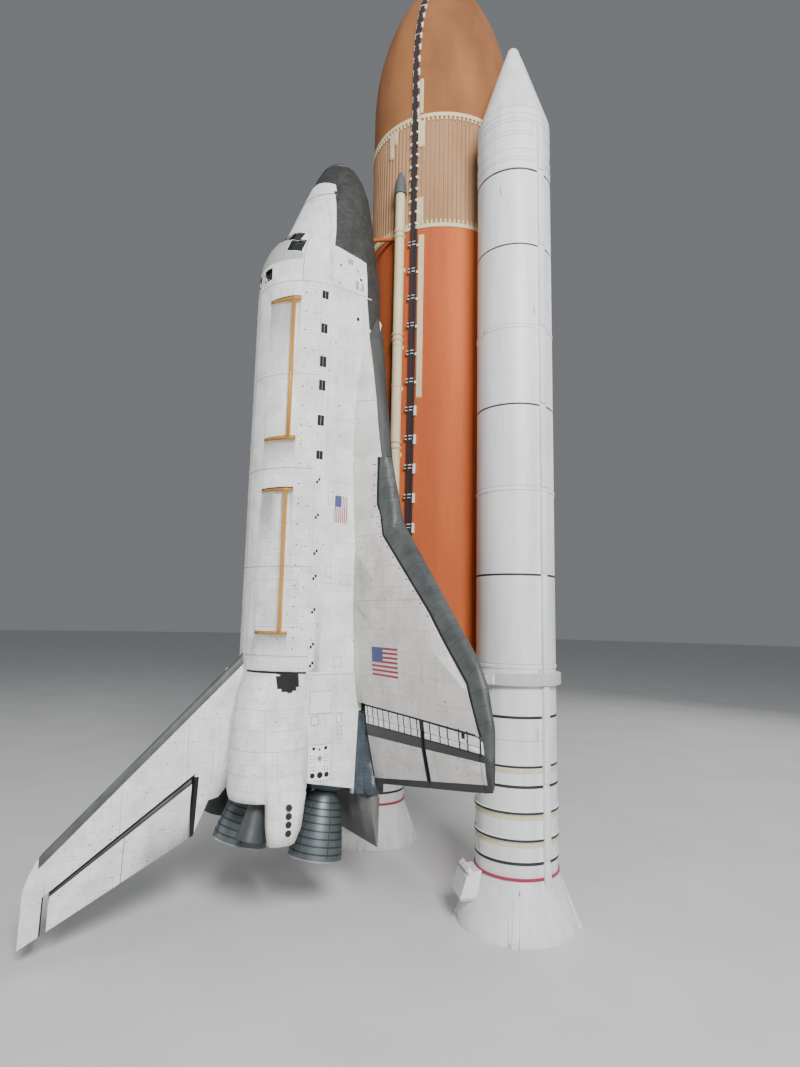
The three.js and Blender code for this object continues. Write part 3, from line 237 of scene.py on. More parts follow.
def enamel(name, tone, deep, roughness, metallic=0.0):
    """Brushed or sprayed paint with faint runs and rubbed spots."""
    material, shader, place = finish(name, roughness, metallic)
    runs = clouded(stretched(place, 1, 1, 0.25), 3.0, 5.0, 0.6)
    spots = clouded(place, 40.0, 3.0)
    colour = mixed(between(runs, 0.35, 0.7), tone, deep)
    colour = mixed(1.0, colour, between(spots, 0.3, 0.7, 0.96, 1.03), "MULTIPLY")
    fed(shader, "Base Color", colour)
    gloss = between(runs, 0.3, 0.7, roughness * 0.85, min(1.0, roughness * 1.2))
    fed(shader, "Roughness", gloss)
    raised(shader, spots, 0.001, 0.4)
    return material


cream = enamel("cream_paint", (0.70, 0.60, 0.37, 1), (0.58, 0.48, 0.29, 1), 0.7)
spike = [(0, NOSE_START), (2.6, 323.4), (4, 326), (5.2, 334), (8, 344.5), (ogive(OGIVE_START), OGIVE_START),
         (0, OGIVE_START)]
shown(turned(tank_scaled(spike), (0, TANK_Y), 64), "tank_nose", "stack", [cream], ["tank_nose_cap"])

brown_foam = foam("brown_foam", (0.335, 0.135, 0.044, 1), (0.22, 0.083, 0.028, 1), 0.4)
OGIVE_LONG = OGIVE_END - OGIVE_START
ogive_stations = [OGIVE_START + OGIVE_LONG * step / OGIVE_STEPS for step in range(1, OGIVE_STEPS + 1)]
ogive_stations.insert(0, OGIVE_START + 0.1)
shell = [(0, ogive_stations[0])] + [(ogive(station), station) for station in ogive_stations]
shell += [(TANK_RADIUS, OXYGEN_END), (0, OXYGEN_END)]
shown(turned(tank_scaled(shell), (0, TANK_Y), 128), "oxygen_tank_shell", "stack", [brown_foam],
      ["oxygen_tank"], 50)

# Intertank: a corrugated barrel between two bolted flanges. One rib's outline is carried round
# the axis 108 times and drawn up; a row of bolt shelves hangs inside each flange.
RIB_COUNT, RIB_ROOT = 108, 163.4
# How far out each corner of a rib stands, and how far round it is as a share of the ribs' pitch
RIB_OUTLINE = [(RIB_ROOT, 0), (RIB_ROOT, 0.42), (TANK_RADIUS, 0.52), (TANK_RADIUS, 0.9), (RIB_ROOT, 1)]
INTERTANK_TOP, INTERTANK_END = 852.84, 1123.1
RIB_SHORT = 5
FLANGE_TALL, FLANGE_PROUD, FLANGE_ROUND = 8.9, 2.2, 1
tan_foam = foam("tan_foam", (0.46, 0.265, 0.142, 1), (0.36, 0.20, 0.10, 1), 0.5)


def carried_round(work, count):
    """Repeats what is in the mesh at equal steps round the standing axis."""
    geometry = work.verts[:] + work.edges[:] + work.faces[:]
    bmesh.ops.spin(work, geom=geometry, axis=(0, 0, 1), angle=math.tau, steps=count, use_duplicate=True)
    bmesh.ops.remove_doubles(work, verts=work.verts, dist=1e-4)


def intertank():
    work = bmesh.new()
    pitch = math.tau / RIB_COUNT
    low = tank_up(INTERTANK_END - RIB_SHORT)
    high = tank_up(INTERTANK_TOP + RIB_SHORT)
    ring = []
    for radius, share in RIB_OUTLINE:
        x, y = radius * INCH * math.cos(share * pitch), radius * INCH * math.sin(share * pitch)
        ring.append(work.verts.new((x, y, low)))
    for pair in zip(ring, ring[1:]):
        work.edges.new(pair)
    carried_round(work, RIB_COUNT)
    lower = work.edges[:]
    drawn = bmesh.ops.extrude_edge_only(work, edges=lower)["geom"]
    risen = [part for part in drawn if isinstance(part, bmesh.types.BMVert)]
    bmesh.ops.translate(work, verts=risen, vec=(0, 0, high - low))
    upper = [part for part in drawn if isinstance(part, bmesh.types.BMEdge)]
    bmesh.ops.edgeloop_fill(work, edges=lower)
    bmesh.ops.edgeloop_fill(work, edges=upper)
    bmesh.ops.recalc_face_normals(work, faces=work.faces)
    bmesh.ops.translate(work, verts=work.verts, vec=(0, TANK_Y, 0))
    return work


def boxed(work, centre, size, turning=None):
    """Adds a block with its middle at a place, turned if asked, and gives back its corners."""
    matrix = Matrix.Translation(centre) @ (turning or Matrix()) @ Matrix.Diagonal((*size, 1))
    return bmesh.ops.create_cube(work, size=1, matrix=matrix)["verts"]


def joined_to(work, other):
    """Adds another mesh's faces to this one and frees it."""
    loose = bpy.data.meshes.new("loose")
    other.to_mesh(loose)
    other.free()
    work.from_mesh(loose)
    bpy.data.meshes.remove(loose)


def tank_flange(name, top, shelves_at):
    """A raised ring with a row of short shelves that stand out from the ribs beside it."""
    inner, edge, bottom = RIB_ROOT - 4, TANK_RADIUS + FLANGE_PROUD, top + FLANGE_TALL
    loop = [(inner, top), (edge - 0.6, top), (edge, top + FLANGE_ROUND), (edge, bottom - FLANGE_ROUND),
            (edge - 0.6, bottom), (inner, bottom), (inner, top)]
    work = turned(tank_scaled(loop), steps=160)
    shelves = bmesh.new()
    boxed(shelves, ((TANK_RADIUS - 0.5) * INCH, 0, tank_up(shelves_at)), (4.6 * INCH, 3.4 * INCH, 9 * INCH))
    carried_round(shelves, RIB_COUNT)
    joined_to(work, shelves)
    bmesh.ops.translate(work, verts=work.verts, vec=(0, TANK_Y, 0))
    shown(work, name, "stack", [cream])


shown(intertank(), "intertank_ribs", "stack", [tan_foam], ["intertank"], 25)
lower_flange = INTERTANK_END - FLANGE_TALL
tank_flange("intertank_upper_flange", INTERTANK_TOP, INTERTANK_TOP + FLANGE_TALL + 4)
tank_flange("intertank_lower_flange", lower_flange, lower_flange - 4)

# Hydrogen tank: the longest shell, an aluminium barrel with a flattened dome at its foot, all under
# the same foam, which is still orange here.
BARREL_TOP, BARREL_SEAMS, DOME_START, DOME_DEEP = 1123.15, (1300, 1600, 1880), 2058, 115
orange_foam = foam("orange_foam", (0.60, 0.145, 0.034, 1), (0.42, 0.082, 0.02, 1), 0.12)
barrel = [(0, BARREL_TOP), (TANK_RADIUS, BARREL_TOP)]
barrel += [(TANK_RADIUS, station) for station in (*BARREL_SEAMS, DOME_START)]
for degrees in range(6, 90, 6):
    angle = math.radians(degrees)
    barrel.append((TANK_RADIUS * math.cos(angle), DOME_START + DOME_DEEP * math.sin(angle)))
barrel.append((0, DOME_START + DOME_DEEP))
shown(turned(tank_scaled(barrel), (0, TANK_Y), 128), "hydrogen_tank_shell", "stack", [orange_foam],
      ["hydrogen_tank"], 50)

# Oxygen feedline: a wide pipe down the tank's shoulder, bolted together at pairs of flanges and
# held off the foam by pedestals, with a dark pointed fairing over its upper end.
FEED_ANGLE, FEED_OUT, FEED_RADIUS = -66, TANK_RADIUS + 14, 10.5
FEED_TOP, FEED_ELBOW = 1041, 2091
FEED_FLANGES = (1128, 1140, 1360, 1372, 1592, 1604, 1824, 1836)
FEED_PEDESTALS = (1210, 1385, 1475, 1617, 1720, 1849, 1950, 2030)
FAIRING_START = 986.5
# Radius and station of the fairing's outline
FAIRING = [(0, FAIRING_START), (1.6, 987.4), (4.2, 991), (6.8, 997), (9, 1004.5), (11, 1013), (12.4, 1022),
           (13.2, 1032), (13.4, 1039), (13.4, 1041.5), (0, 1041.5)]
# The orbiter's height over the model's middle and its station at the floor, in its own numbers
ORBITER_MIDDLE, ORBITER_FLOOR = 357.25, 1732.64
dark_fairing = enamel("fairing_grey", (0.10, 0.115, 0.12, 1), (0.07, 0.08, 0.085, 1), 0.7)


def orbiter(station, across, height):
    """A place from the orbiter's own station, inches to the right and height, in metres."""
    return Vector((across * INCH, (ORBITER_MIDDLE - height) * INCH, (ORBITER_FLOOR - station) * INCH))


def round_tank(angle, radius, station):
    """A place beside the tank, from degrees round it, inches out and its station."""
    turning = math.radians(angle)
    x, y = radius * INCH * math.cos(turning), radius * INCH * math.sin(turning)
    return Vector((x, TANK_Y + y, tank_up(station)))


def rod(work, start, end, radius, end_radius=None, sides=24):
    """Adds a round bar between two places, radii in inches."""
    reach = end - start
    matrix = Matrix.Translation((start + end) / 2) @ reach.to_track_quat("Z", "Y").to_matrix().to_4x4()
    thin = radius if end_radius is None else end_radius
    bmesh.ops.create_cone(work, cap_ends=True, segments=sides, radius1=radius * INCH,
                          radius2=thin * INCH, depth=reach.length, matrix=matrix)


def on_feedline(station, out=FEED_OUT):
    return round_tank(FEED_ANGLE, out, station)


def feedline():
    work = bmesh.new()
    umbilical = orbiter(1352, 62, 268.5)
    rod(work, on_feedline(FEED_TOP), on_feedline(FEED_ELBOW), FEED_RADIUS, sides=32)
    rod(work, on_feedline(FEED_ELBOW - 6), umbilical, FEED_RADIUS, FEED_RADIUS * 0.9, 32)
    elbow = Matrix.Translation(on_feedline(FEED_ELBOW - 2))
    bmesh.ops.create_uvsphere(work, u_segments=32, v_segments=16, radius=FEED_RADIUS * INCH, matrix=elbow)
    for station in FEED_FLANGES:
        rod(work, on_feedline(station), on_feedline(station + 2.6), FEED_RADIUS + 2.6, sides=32)
        rod(work, on_feedline(station - 1), on_feedline(station + 4.6), FEED_RADIUS + 1.4, sides=32)
    for station in FEED_PEDESTALS:
        foot, skin = on_feedline(station, TANK_RADIUS - 1), on_feedline(station, TANK_RADIUS + 2.5)
        rod(work, on_feedline(station), on_feedline(station, TANK_RADIUS - 3), 3.2, sides=12)
        rod(work, on_feedline(station - 1.5), on_feedline(station + 1.5), FEED_RADIUS + 0.8, sides=32)
        rod(work, foot, skin, 7.5, 5.5, 16)
    shown(work, "feedline_pipe", "stack", [cream], ["oxygen_feedline"])


def feedline_fairing():
    outline = [(radius * INCH, (FAIRING_START - station) * INCH) for radius, station in FAIRING]
    work = turned(outline, steps=40)
    bmesh.ops.translate(work, verts=work.verts, vec=on_feedline(FAIRING_START))
    turning = Matrix.Rotation(math.radians(FEED_ANGLE), 4, "Z")
    boxed(work, on_feedline(1030, TANK_RADIUS + 3), (8 * INCH, 9 * INCH, 40 * INCH), turning)
    shown(work, "feedline_fairing", "stack", [dark_fairing])


feedline()
feedline_fairing()

# Cable tray: a dark folded cover with the thin pressure line beside it, clamped to the skin by
# white brackets in pairs, and cream foam ramps next to it that ease the air over the brackets.
TRAY_ANGLE = -57
# Where the pressure line starts and ends over the ogive and beside the tray, and its run on the ribs
OGIVE_RUN, TRAY_RUN, RIB_RUN = (430, 845), (1124, 2040), (851, 1119)
OGIVE_RUN_STEPS = 26
dark_strip = enamel("cable_cover", (0.042, 0.026, 0.029, 1), (0.026, 0.018, 0.02, 1), 0.5)
cad["pressure_line_tray"].data.materials.clear()
cad["pressure_line_tray"].data.materials.append(dark_strip)


def beside_tray(work, station, offset, tall, wide, proud, lift=0.0):
    """Adds a block on the tank's skin, some inches round from the tray, leaning with the ogive."""
    base, lean = TANK_RADIUS, 0.0
    if station < OGIVE_END:
        base = ogive(station)
        lean = math.atan((ogive(station + 5) - ogive(station - 5)) / 10)
    angle = TRAY_ANGLE + math.degrees(offset / base)
    turning = Matrix.Rotation(math.radians(angle), 4, "Z") @ Matrix.Rotation(-lean, 4, "Y")
    where = round_tank(angle, base + lift + proud / 2, station)
    return boxed(work, where, (proud * INCH, wide * INCH, tall * INCH), turning)


def white_paint():
    """White paint with faint runs, dull grey patches and small upright scuffs."""
    material, shader, place = finish("booster_white", 0.42)
    runs = clouded(stretched(place, 2.2, 2.2, 0.25), 1.6, 5.0, 0.6)
    colour = mixed(between(runs, 0.42, 0.72), (0.80, 0.81, 0.80, 1), (0.66, 0.68, 0.68, 1))
    grime = clouded(place, 7.0, 4.0, 0.6)
    colour = mixed(between(grime, 0.62, 0.8, 0, 0.5), colour, (0.60, 0.61, 0.60, 1))
    scuffs = clouded(stretched(place, 16, 16, 1.5), 1.0, 0.0)
    colour = mixed(between(scuffs, 0.83, 0.86), colour, (0.20, 0.20, 0.20, 1))
    fed(shader, "Base Color", colour)
    fed(shader, "Roughness", between(grime, 0.3, 0.7, 0.36, 0.5))
    raised(shader, runs, 0.002, 0.3)
    return material


booster_white = white_paint()


def tray_brackets():
    """White clamps over the tray, in pairs beside it on the ribs, with tall feet lower down."""
    work = bmesh.new()
    for station in range(448, 850, 33):
        beside_tray(work, station, 0, 3, 11, 6.6)
        beside_tray(work, station, -6.4, 15, 3, 3)
        beside_tray(work, station, 6.4, 17, 3.4, 3)
    for station in range(868, 1112, 27):
        beside_tray(work, station, 0, 2.4, 13, 6.6)
        beside_tray(work, station, -7.4, 5, 6, 5)
        beside_tray(work, station, 7, 5, 4.4, 5)
    for station in range(1157, 2020, 61):
        for step in (-3.2, 3.2):
            beside_tray(work, station + step, -1.5, 1.8, 16, 7)
        beside_tray(work, station, -1.5, 8, 13, 2.4)
        beside_tray(work, station + 4, 10.5, 5 if station < 1508 else 20, 4.4, 3.6)
    shown(work, "tray_brackets", "stack", [booster_white])


def pressure_line():
    """The pressure line on its bed beside the tray, and its run over the ogive and the ribs."""
    work = bmesh.new()
    beside_tray(work, sum(TRAY_RUN) / 2, 0.5, TRAY_RUN[1] - TRAY_RUN[0], 15, 0.8)
    beside_tray(work, sum(TRAY_RUN) / 2, 6.6, TRAY_RUN[1] - TRAY_RUN[0], 3.2, 2.6, 3)
    beside_tray(work, sum(RIB_RUN) / 2, 3.4, RIB_RUN[1] - RIB_RUN[0], 1.8, 3)
    stretch = (OGIVE_RUN[1] - OGIVE_RUN[0]) / OGIVE_RUN_STEPS
    for step in range(OGIVE_RUN_STEPS):
        beside_tray(work, OGIVE_RUN[0] + stretch * (step + 0.5), 3.8, stretch * 1.12, 2.6, 3)
    shown(work, "pressure_line", "stack", [dark_strip])


# Each ramp's inches round from the tray, first and last station, and width
RAMPS = [(13, 762, 848, 8), (14, 866, 930, 15), (13.4, 1048, 1112, 14), (17.4, 1136, 1500, 12),
         (-58, 866, 900, 22), (-64, 866, 930, 10)]


def cream_ramps():
    """Long low strips whose outer faces are drawn in at both ends."""
    work = bmesh.new()
    for offset, top, bottom, wide in RAMPS:
        middle = (top + bottom) / 2
        for vert in beside_tray(work, middle, offset, bottom - top, wide, 3.2, -0.6):
            if (vert.co.xy - Vector((0, TANK_Y))).length > TANK_RADIUS * INCH:
                vert.co.z += 4 * INCH * (-1 if vert.co.z > tank_up(middle) else 1)
    bmesh.ops.bevel(work, geom=work.edges[:], offset=0.6 * INCH, segments=1, affect="EDGES", profile=0.5,
                    material=-1)
    shown(work, "cream_ramps", "stack", [cream])


tray_brackets()
cream_ramps()
pressure_line()

# Struts that tie the orbiter to the tank: a foam-covered forward bipod, and a painted rear frame and
# hydrogen elbow. Their own meshes show, in their own paint.
STRUT_PAINTS = {"forward_bipod": orange_foam, "rear_attach_frame": cream, "hydrogen_feed_elbow": cream}
for node, paint in STRUT_PAINTS.items():
    cad[node].data.materials.clear()
    cad[node].data.materials.append(paint)

# Booster noses and cases: a riveted cone and skirt on a steel case of eight rolled cylinders pinned
# end to end, all in white paint, with black seals, raised joint covers and cork bands low down.
BOOSTER_RADIUS, BOOSTER_OUT = 73, 250.5
SIDES = {"right": 1, "left": -1}
SKIRT_TOP, CASE_TOP, CASE_END, FOOT_STATION = 397.04, 531, 1837, 1930.64
black_rubber = enamel("seal_black", (0.02, 0.02, 0.022, 1), (0.035, 0.035, 0.035, 1), 0.6)
cork_yellow = enamel("cork_yellow", (0.68, 0.64, 0.42, 1), (0.58, 0.54, 0.34, 1), 0.7)
skirt_red = enamel("skirt_red", (0.42, 0.03, 0.08, 1), (0.34, 0.02, 0.06, 1), 0.5)
seam_line = enamel("seam_line", (0.34, 0.34, 0.34, 1), (0.42, 0.42, 0.42, 1), 0.6)
ring_grey = enamel("ring_grey", (0.56, 0.57, 0.57, 1), (0.47, 0.48, 0.48, 1), 0.5)
dark_metal = enamel("dark_metal", (0.045, 0.05, 0.055, 1), (0.03, 0.03, 0.035, 1), 0.45, 0.5)
booster_finishes = [booster_white, black_rubber, cork_yellow, skirt_red, dark_metal, seam_line, ring_grey]
SEAL, CORK, RED_LINE, DARK, SEAM, RING = range(1, 7)
CONE = [(0, 200), (5, 200.8), (9, 203), (11.8, 207), (13, 212), (19.6, 232), (20.4, 232.6), (72.4, 394.5),
        (73, 397), (0, 397)]
CONE_BANDS = [(231.5, 232.8, SEAL), (393, 394, SEAL)]
SKIRT_HOOPS = (409, 421, 428, 449, 456, 487, 505, 511)
# Station, half height and how far out each cover on the case's joints stands
CASE_HOOPS = [(856, 2.4, 1.2), (1169, 2.4, 1.2), (1489, 2.4, 1.2), (1690, 2.2, 1.0), (1733, 2.4, 2.2),
              (1777, 2.4, 2.2), (1814, 2.6, 1.0)]
# First and last station of each painted band, and its finish
CASE_BANDS = [
    (531, 533.6, SEAL), (688, 691.2, SEAL), (1007, 1010.4, SEAL), (1324, 1327.8, SEAL),
    (1572.5, 1577.2, SEAL), (1613.4, 1614.4, SEAM), (1655.5, 1659.5, SEAL), (1660.5, 1669, CORK),
    (1687.6, 1692.4, SEAL), (1731, 1735, SEAL), (1736, 1745, CORK), (1775, 1779, SEAL),
    (1780, 1789, CORK), (1811.4, 1816.4, SEAL), (851, 852, SEAM), (1163, 1164, SEAM),
    (1483.4, 1484.4, SEAM),
]


def booster_up(station):
    """A height from a booster's own station."""
    return (FOOT_STATION - station) * INCH


def booster_axis(word):
    return SIDES[word] * BOOSTER_OUT * INCH, TANK_Y


def booster_shell(profile, word, steps=96):
    scaled = [(radius * INCH, booster_up(station)) for radius, station in profile]
    return turned(scaled, booster_axis(word), steps)


def booster_shown(work, word, part):
    name = f"booster_{word}_{part}"
    shown(work, name + "_skin", "stack", booster_finishes, [name])


def hoop(station, half, proud):
    """The outline of a raised hoop with sloped shoulders on the straight case."""
    edge = BOOSTER_RADIUS + proud
    return [(BOOSTER_RADIUS, station - half - 0.5), (edge, station - half), (edge, station + half),
            (BOOSTER_RADIUS, station + half + 0.5)]


def bisected(work, place, direction):
    """Cuts edges along a plane through every face, and keeps both sides."""
    geometry = work.verts[:] + work.edges[:] + work.faces[:]
    bmesh.ops.bisect_plane(work, geom=geometry, dist=1e-6, plane_co=place, plane_no=direction)


def banded(work, top, bottom, number):
    """Gives the faces between two stations another of the piece's finishes."""
    low, high = booster_up(bottom), booster_up(top)
    for height in (low, high):
        bisected(work, (0, 0, height), (0, 0, 1))
    for face in work.faces:
        if low < face.calc_center_median().z < high:
            face.material_index = number


def nose_cone(word):
    work = booster_shell(CONE, word)
    for band in CONE_BANDS:
        banded(work, *band)
    booster_shown(work, word, "nose_cone")


def forward_skirt(word):
    """The skirt and its thrust fitting, a block that reaches to the intertank."""
    profile = [(0, SKIRT_TOP), (BOOSTER_RADIUS, SKIRT_TOP)]
    for station in SKIRT_HOOPS:
        profile += hoop(station, 1.2, 1.0)
    profile += [(BOOSTER_RADIUS, CASE_TOP - 0.04), (0, CASE_TOP - 0.04)]
    work = booster_shell(profile, word)
    banded(work, CASE_TOP - 1.6, CASE_TOP - 0.05, SEAL)
    near, far = (TANK_RADIUS + 2.6) * INCH, (BOOSTER_OUT - 60) * INCH
    centre = (SIDES[word] * (near + far) / 2, TANK_Y, tank_up(985.7))
    boxed(work, centre, (far - near, 18 * INCH, 28 * INCH))
    booster_shown(work, word, "forward_skirt")


def motor_case(word):
    profile = [(0, CASE_TOP), (BOOSTER_RADIUS, CASE_TOP)]
    for row in CASE_HOOPS:
        profile += hoop(*row)
    profile += [(BOOSTER_RADIUS, CASE_END), (0, CASE_END)]
    work = booster_shell(profile, word)
    for band in CASE_BANDS:
        banded(work, *band)
    booster_shown(work, word, "motor_case")


for word in SIDES:
    nose_cone(word)
    forward_skirt(word)
    motor_case(word)

# Systems tunnels and attach rings: a cable duct of rounded covers down each case's outer side, and
# a hollow ring low on the case whose three struts carry the tank.
TUNNEL_COVERS = [(430, 527), (529, 686), (691, 852), (860, 1005), (1011, 1165), (1173, 1322), (1328, 1500),
                 (1522, 1686), (1694, 1809), (1818, 1857)]
RING_STATION = 1511
RING_OUTLINE = [(72, 1500), (81, 1500), (82, 1501), (82, 1520), (81, 1521), (72, 1521), (72, 1500)]
# How far across each strut starts, and its far end's place as a multiple of that
STRUTS = [(-52, 1.05), (40, -0.4), (52, 1.05)]


def systems_tunnel(word):
    work = bmesh.new()
    x, y = booster_axis(word)
    side = SIDES[word]
    for top, bottom in TUNNEL_COVERS:
        outer = 79.2 if top < RING_STATION else 79.8
        centre = (x + side * (outer + 70) / 2 * INCH, y, booster_up((top + bottom) / 2))
        boxed(work, centre, ((outer - 70) * INCH, 13.4 * INCH, (bottom - top) * INCH))
    bmesh.ops.bevel(work, geom=work.edges[:], offset=1.6 * INCH, segments=2, affect="EDGES", profile=0.5,
                    material=-1)
    boxed(work, (x + side * 73.6 * INCH, y, booster_up(1143)), (6 * INCH, 12.4 * INCH, 1424 * INCH))
    booster_shown(work, word, "systems_tunnel")


def attach_ring(word):
    work = booster_shell(RING_OUTLINE, word)
    for face in work.faces:
        face.material_index = RING
    x, y = booster_axis(word)
    tank_wall = BOOSTER_OUT - math.sqrt(TANK_RADIUS ** 2 - 60 ** 2)

    def hub(across, out):
        """A place towards the tank, from inches across and inches out from the case's axis."""
        return Vector((x - SIDES[word] * out * INCH, y + across * INCH, booster_up(RING_STATION)))

    for across, bend in STRUTS:
        rod(work, hub(across, 60), hub(across * bend, tank_wall), 4.4)
        rod(work, hub(across, 62), hub(across * (1 + (bend - 1) * 0.16), 66), 6.4)
    turning = Matrix.Rotation(math.radians(-76 if word == "right" else -104), 4, "Z")
    box_at = Vector((x, y, booster_up(RING_STATION))) + turning @ Vector((80 * INCH, 0, 0))
    boxed(work, box_at, (12.5 * INCH, 17 * INCH, 17 * INCH), turning)
    booster_shown(work, word, "attach_ring")


for word in SIDES:
    systems_tunnel(word)
    attach_ring(word)

# Aft skirts: a flared cone of thick plate that carries the whole stack on four cast posts, a pack
# of four small separation motors on its side, and the dark nozzle inside it.
FOOT_RADIUS, SKIRT_WALL, THROAT = 106, 5, 1849.03
SKIRT_OUTLINE = [
    (0, 1837.03), (75.4, 1837.03), (75.4, 1841), (73, 1841.5), (73.6, 1843), (FOOT_RADIUS - 1.2, 1921),
    (FOOT_RADIUS, 1924.6), (FOOT_RADIUS, FOOT_STATION), (FOOT_RADIUS - SKIRT_WALL, FOOT_STATION),
    (FOOT_RADIUS - SKIRT_WALL, 1924.6), (BOOSTER_RADIUS - SKIRT_WALL + 4.2, THROAT), (0, THROAT),
]
# Inner and outer radius, half width and station of the ends of a post, its foot and the motors' box
POST = [(74, 77, 1.5, 1851), (96, 109, 4, 1922.6)]
POST_FOOT = [(94, 111, 6, 1922.6), (94, 111, 6, 1930.6)]
MOTOR_BOX = [(72, 80, 22, 1839.03), (76, 101, 27, 1847.03), (82, 112, 27, 1881.03), (90, 108, 22, 1887.03)]
# Radius and station of a web's corners beside a post
WEB = [(86, 1880), (88, 1880), (97, 1925), (109, 1925), (109, 1930), (97, 1930)]
NOZZLE = [(0, THROAT + 8), (30, THROAT + 8), (36, THROAT + 16), (62, 1916.6), (58, 1916.6),
          (27, THROAT + 19), (0, THROAT + 15)]


def beside_skirt(word, degrees, radius, across, station):
    """A place beside a booster's axis, from degrees round it and inches out and across."""
    turning = Matrix.Rotation(math.radians(degrees), 4, "Z")
    reach = Vector((radius * INCH, across * INCH, booster_up(station)))
    return turning @ reach + Vector((*booster_axis(word), 0))


def hulled(work, places):
    bmesh.ops.convex_hull(work, input=[work.verts.new(place) for place in places])


def tapered(work, word, degrees, rows):
    """A block with its own outline at each station."""
    hulled(work, [beside_skirt(word, degrees, radius, across, station) for near, far, half, station in rows
                  for radius, across in ((near, -half), (far, -half), (far, half), (near, half))])


def aft_skirt(word):
    work = booster_shell(SKIRT_OUTLINE, word)
    banded(work, 1836.9, 1841.2, RED_LINE)
    for face in work.faces:
        out = face.calc_center_median() - Vector((*booster_axis(word), 0))
        inner_wall = face.normal.x * out.x + face.normal.y * out.y < 0
        if inner_wall or face.normal.z < -0.9 and out.xy.length < 1.2:
            face.material_index = DARK
    for degrees in (45, 135, 225, 315):
        tapered(work, word, degrees, POST)
        tapered(work, word, degrees, POST_FOOT)
        for across in (-9, 9):
            hulled(work, [beside_skirt(word, degrees, radius, across + half, station)
                          for radius, station in WEB for half in (-0.6, 0.6)])
    booster_shown(work, word, "aft_skirt")


def separation_motors(word):
    """Four short tubes in a box on the skirt, aimed up and away from the tank."""
    work = bmesh.new()
    degrees = -112 if word == "right" else -68
    tapered(work, word, degrees, MOTOR_BOX)
    for across in (-18, -6, 6, 18):
        start = beside_skirt(word, degrees, 88, across, 1846)
        end = beside_skirt(word, degrees, 97, across, 1835)
        rod(work, start, end, 5.0, 5.4)
    shown(work, f"booster_{word}_separation_motors", "stack", booster_finishes)


def booster_nozzle(word):
    name = f"booster_{word}_nozzle"
    work = booster_shell(NOZZLE, word, 64)
    shown(work, name + "_skin", "nozzle_" + word, [dark_metal], [name])


for word in SIDES:
    aft_skirt(word)
    separation_motors(word)
    booster_nozzle(word)


# Forward fuselage: an aluminium nose and cabin under glued tiles, white above a line that climbs aft
# and black below it, with a coated carbon cap at the tip. The black nose runs over the top ahead of
# the thruster module, and dark frames surround the windows.
BODY_MIDDLE, BODY_RADIUS = 396, 104


def sums(way, *feeds):
    """One step of arithmetic on shader values."""
    return shade("Math", *feeds, operation=way)[0]


def spread_out(place, way, middle_height=BODY_MIDDLE):
    """Flat coordinates in metres: round the body, over the wing or along the fin."""
    x, y, z = shade("SeparateXYZ", place)[:3]
    across = x if way == "wing" else y
    if way == "body":
        drop = sums("SUBTRACT", (ORBITER_MIDDLE - middle_height) * INCH, y)
        across = sums("MULTIPLY", sums("ARCTAN2", x, drop), BODY_RADIUS * INCH)
    return shade("CombineXYZ", across, z, 0.0)[0]


def courses(flat, size, joint, tones, offset=0.5):
    """Laid tiles or blankets, sizes in inches: a tone for each one, and a mask of the joints."""
    greys = [(tone, tone, tone, 1) for tone in tones]
    wide, tall = (inches * INCH for inches in size)
    return shade("TexBrick", flat, *greys, 1.0, joint, 0.3, 0.0, wide, tall,
                 offset=offset, offset_frequency=2)[:2]


def quilted(name, way, tone, blanket, tile=(6, 6), middle_height=BODY_MIDDLE, wear=1.0):
    """White blankets or tiles with joints, patches of age, soot ticks and faint runs."""
    material, shader, place = finish(name, 0.8)
    flat = spread_out(place, way, middle_height)
    large, large_joint = courses(flat, blanket, 0.007, (0.91, 1.03, 0.78))
    small, small_joint = courses(flat, tile, 0.0028, (0.965, 1.01, 0.90))
    colour = mixed(1.0, tone, large, "MULTIPLY")
    colour = mixed(1.0, colour, small, "MULTIPLY")
    age = clouded(place, 1.7, 5.0, 0.6)
    colour = mixed(between(age, 0.45, 0.68, 0, 0.5 * wear), colour, (0.56, 0.545, 0.53, 1))
    runs = clouded(stretched(place, 9, 9, 0.7), 1.0, 4.0, 0.6)
    colour = mixed(between(runs, 0.56, 0.76, 0, 0.4 * wear), colour, (0.48, 0.47, 0.46, 1))
    ticks = clouded(stretched(place, 1, 1, 1.6), 15.0, 0.0)
    colour = mixed(between(ticks, 0.785, 0.815, 0, 0.75), colour, (0.12, 0.12, 0.13, 1))
    fed(shader, "Base Color", colour)
    puff = sums("SUBTRACT", 1.0, sums("MAXIMUM", large_joint, small_joint))
    cloth = sums("MULTIPLY", clouded(place, 60.0, 2.0), 0.3)
    raised(shader, sums("ADD", puff, cloth), 0.004, 0.6)
    return material


def black_tiles(name, way, tone=0.03, roughness=0.55, tint=(1, 1, 1.08)):
    """Black-coated tiles with paler joints and a slightly different black on each."""
    material, shader, place = finish(name, roughness)
    flat = spread_out(place, way)
    laid, joint = courses(flat, (6, 6), 0.0035, (0.75, 1.3, 1.5), 0.0)
    worn = clouded(place, 2.5, 5.0, 0.6)
    fresh, faded = ((*(level * part for part in tint), 1) for level in (tone, tone * 1.6))
    base = mixed(between(worn, 0.4, 0.72), fresh, faded)
    fed(shader, "Base Color", mixed(1.0, base, laid, "MULTIPLY"))
    raised(shader, sums("SUBTRACT", 1.0, joint), 0.003, 0.5)
    return material


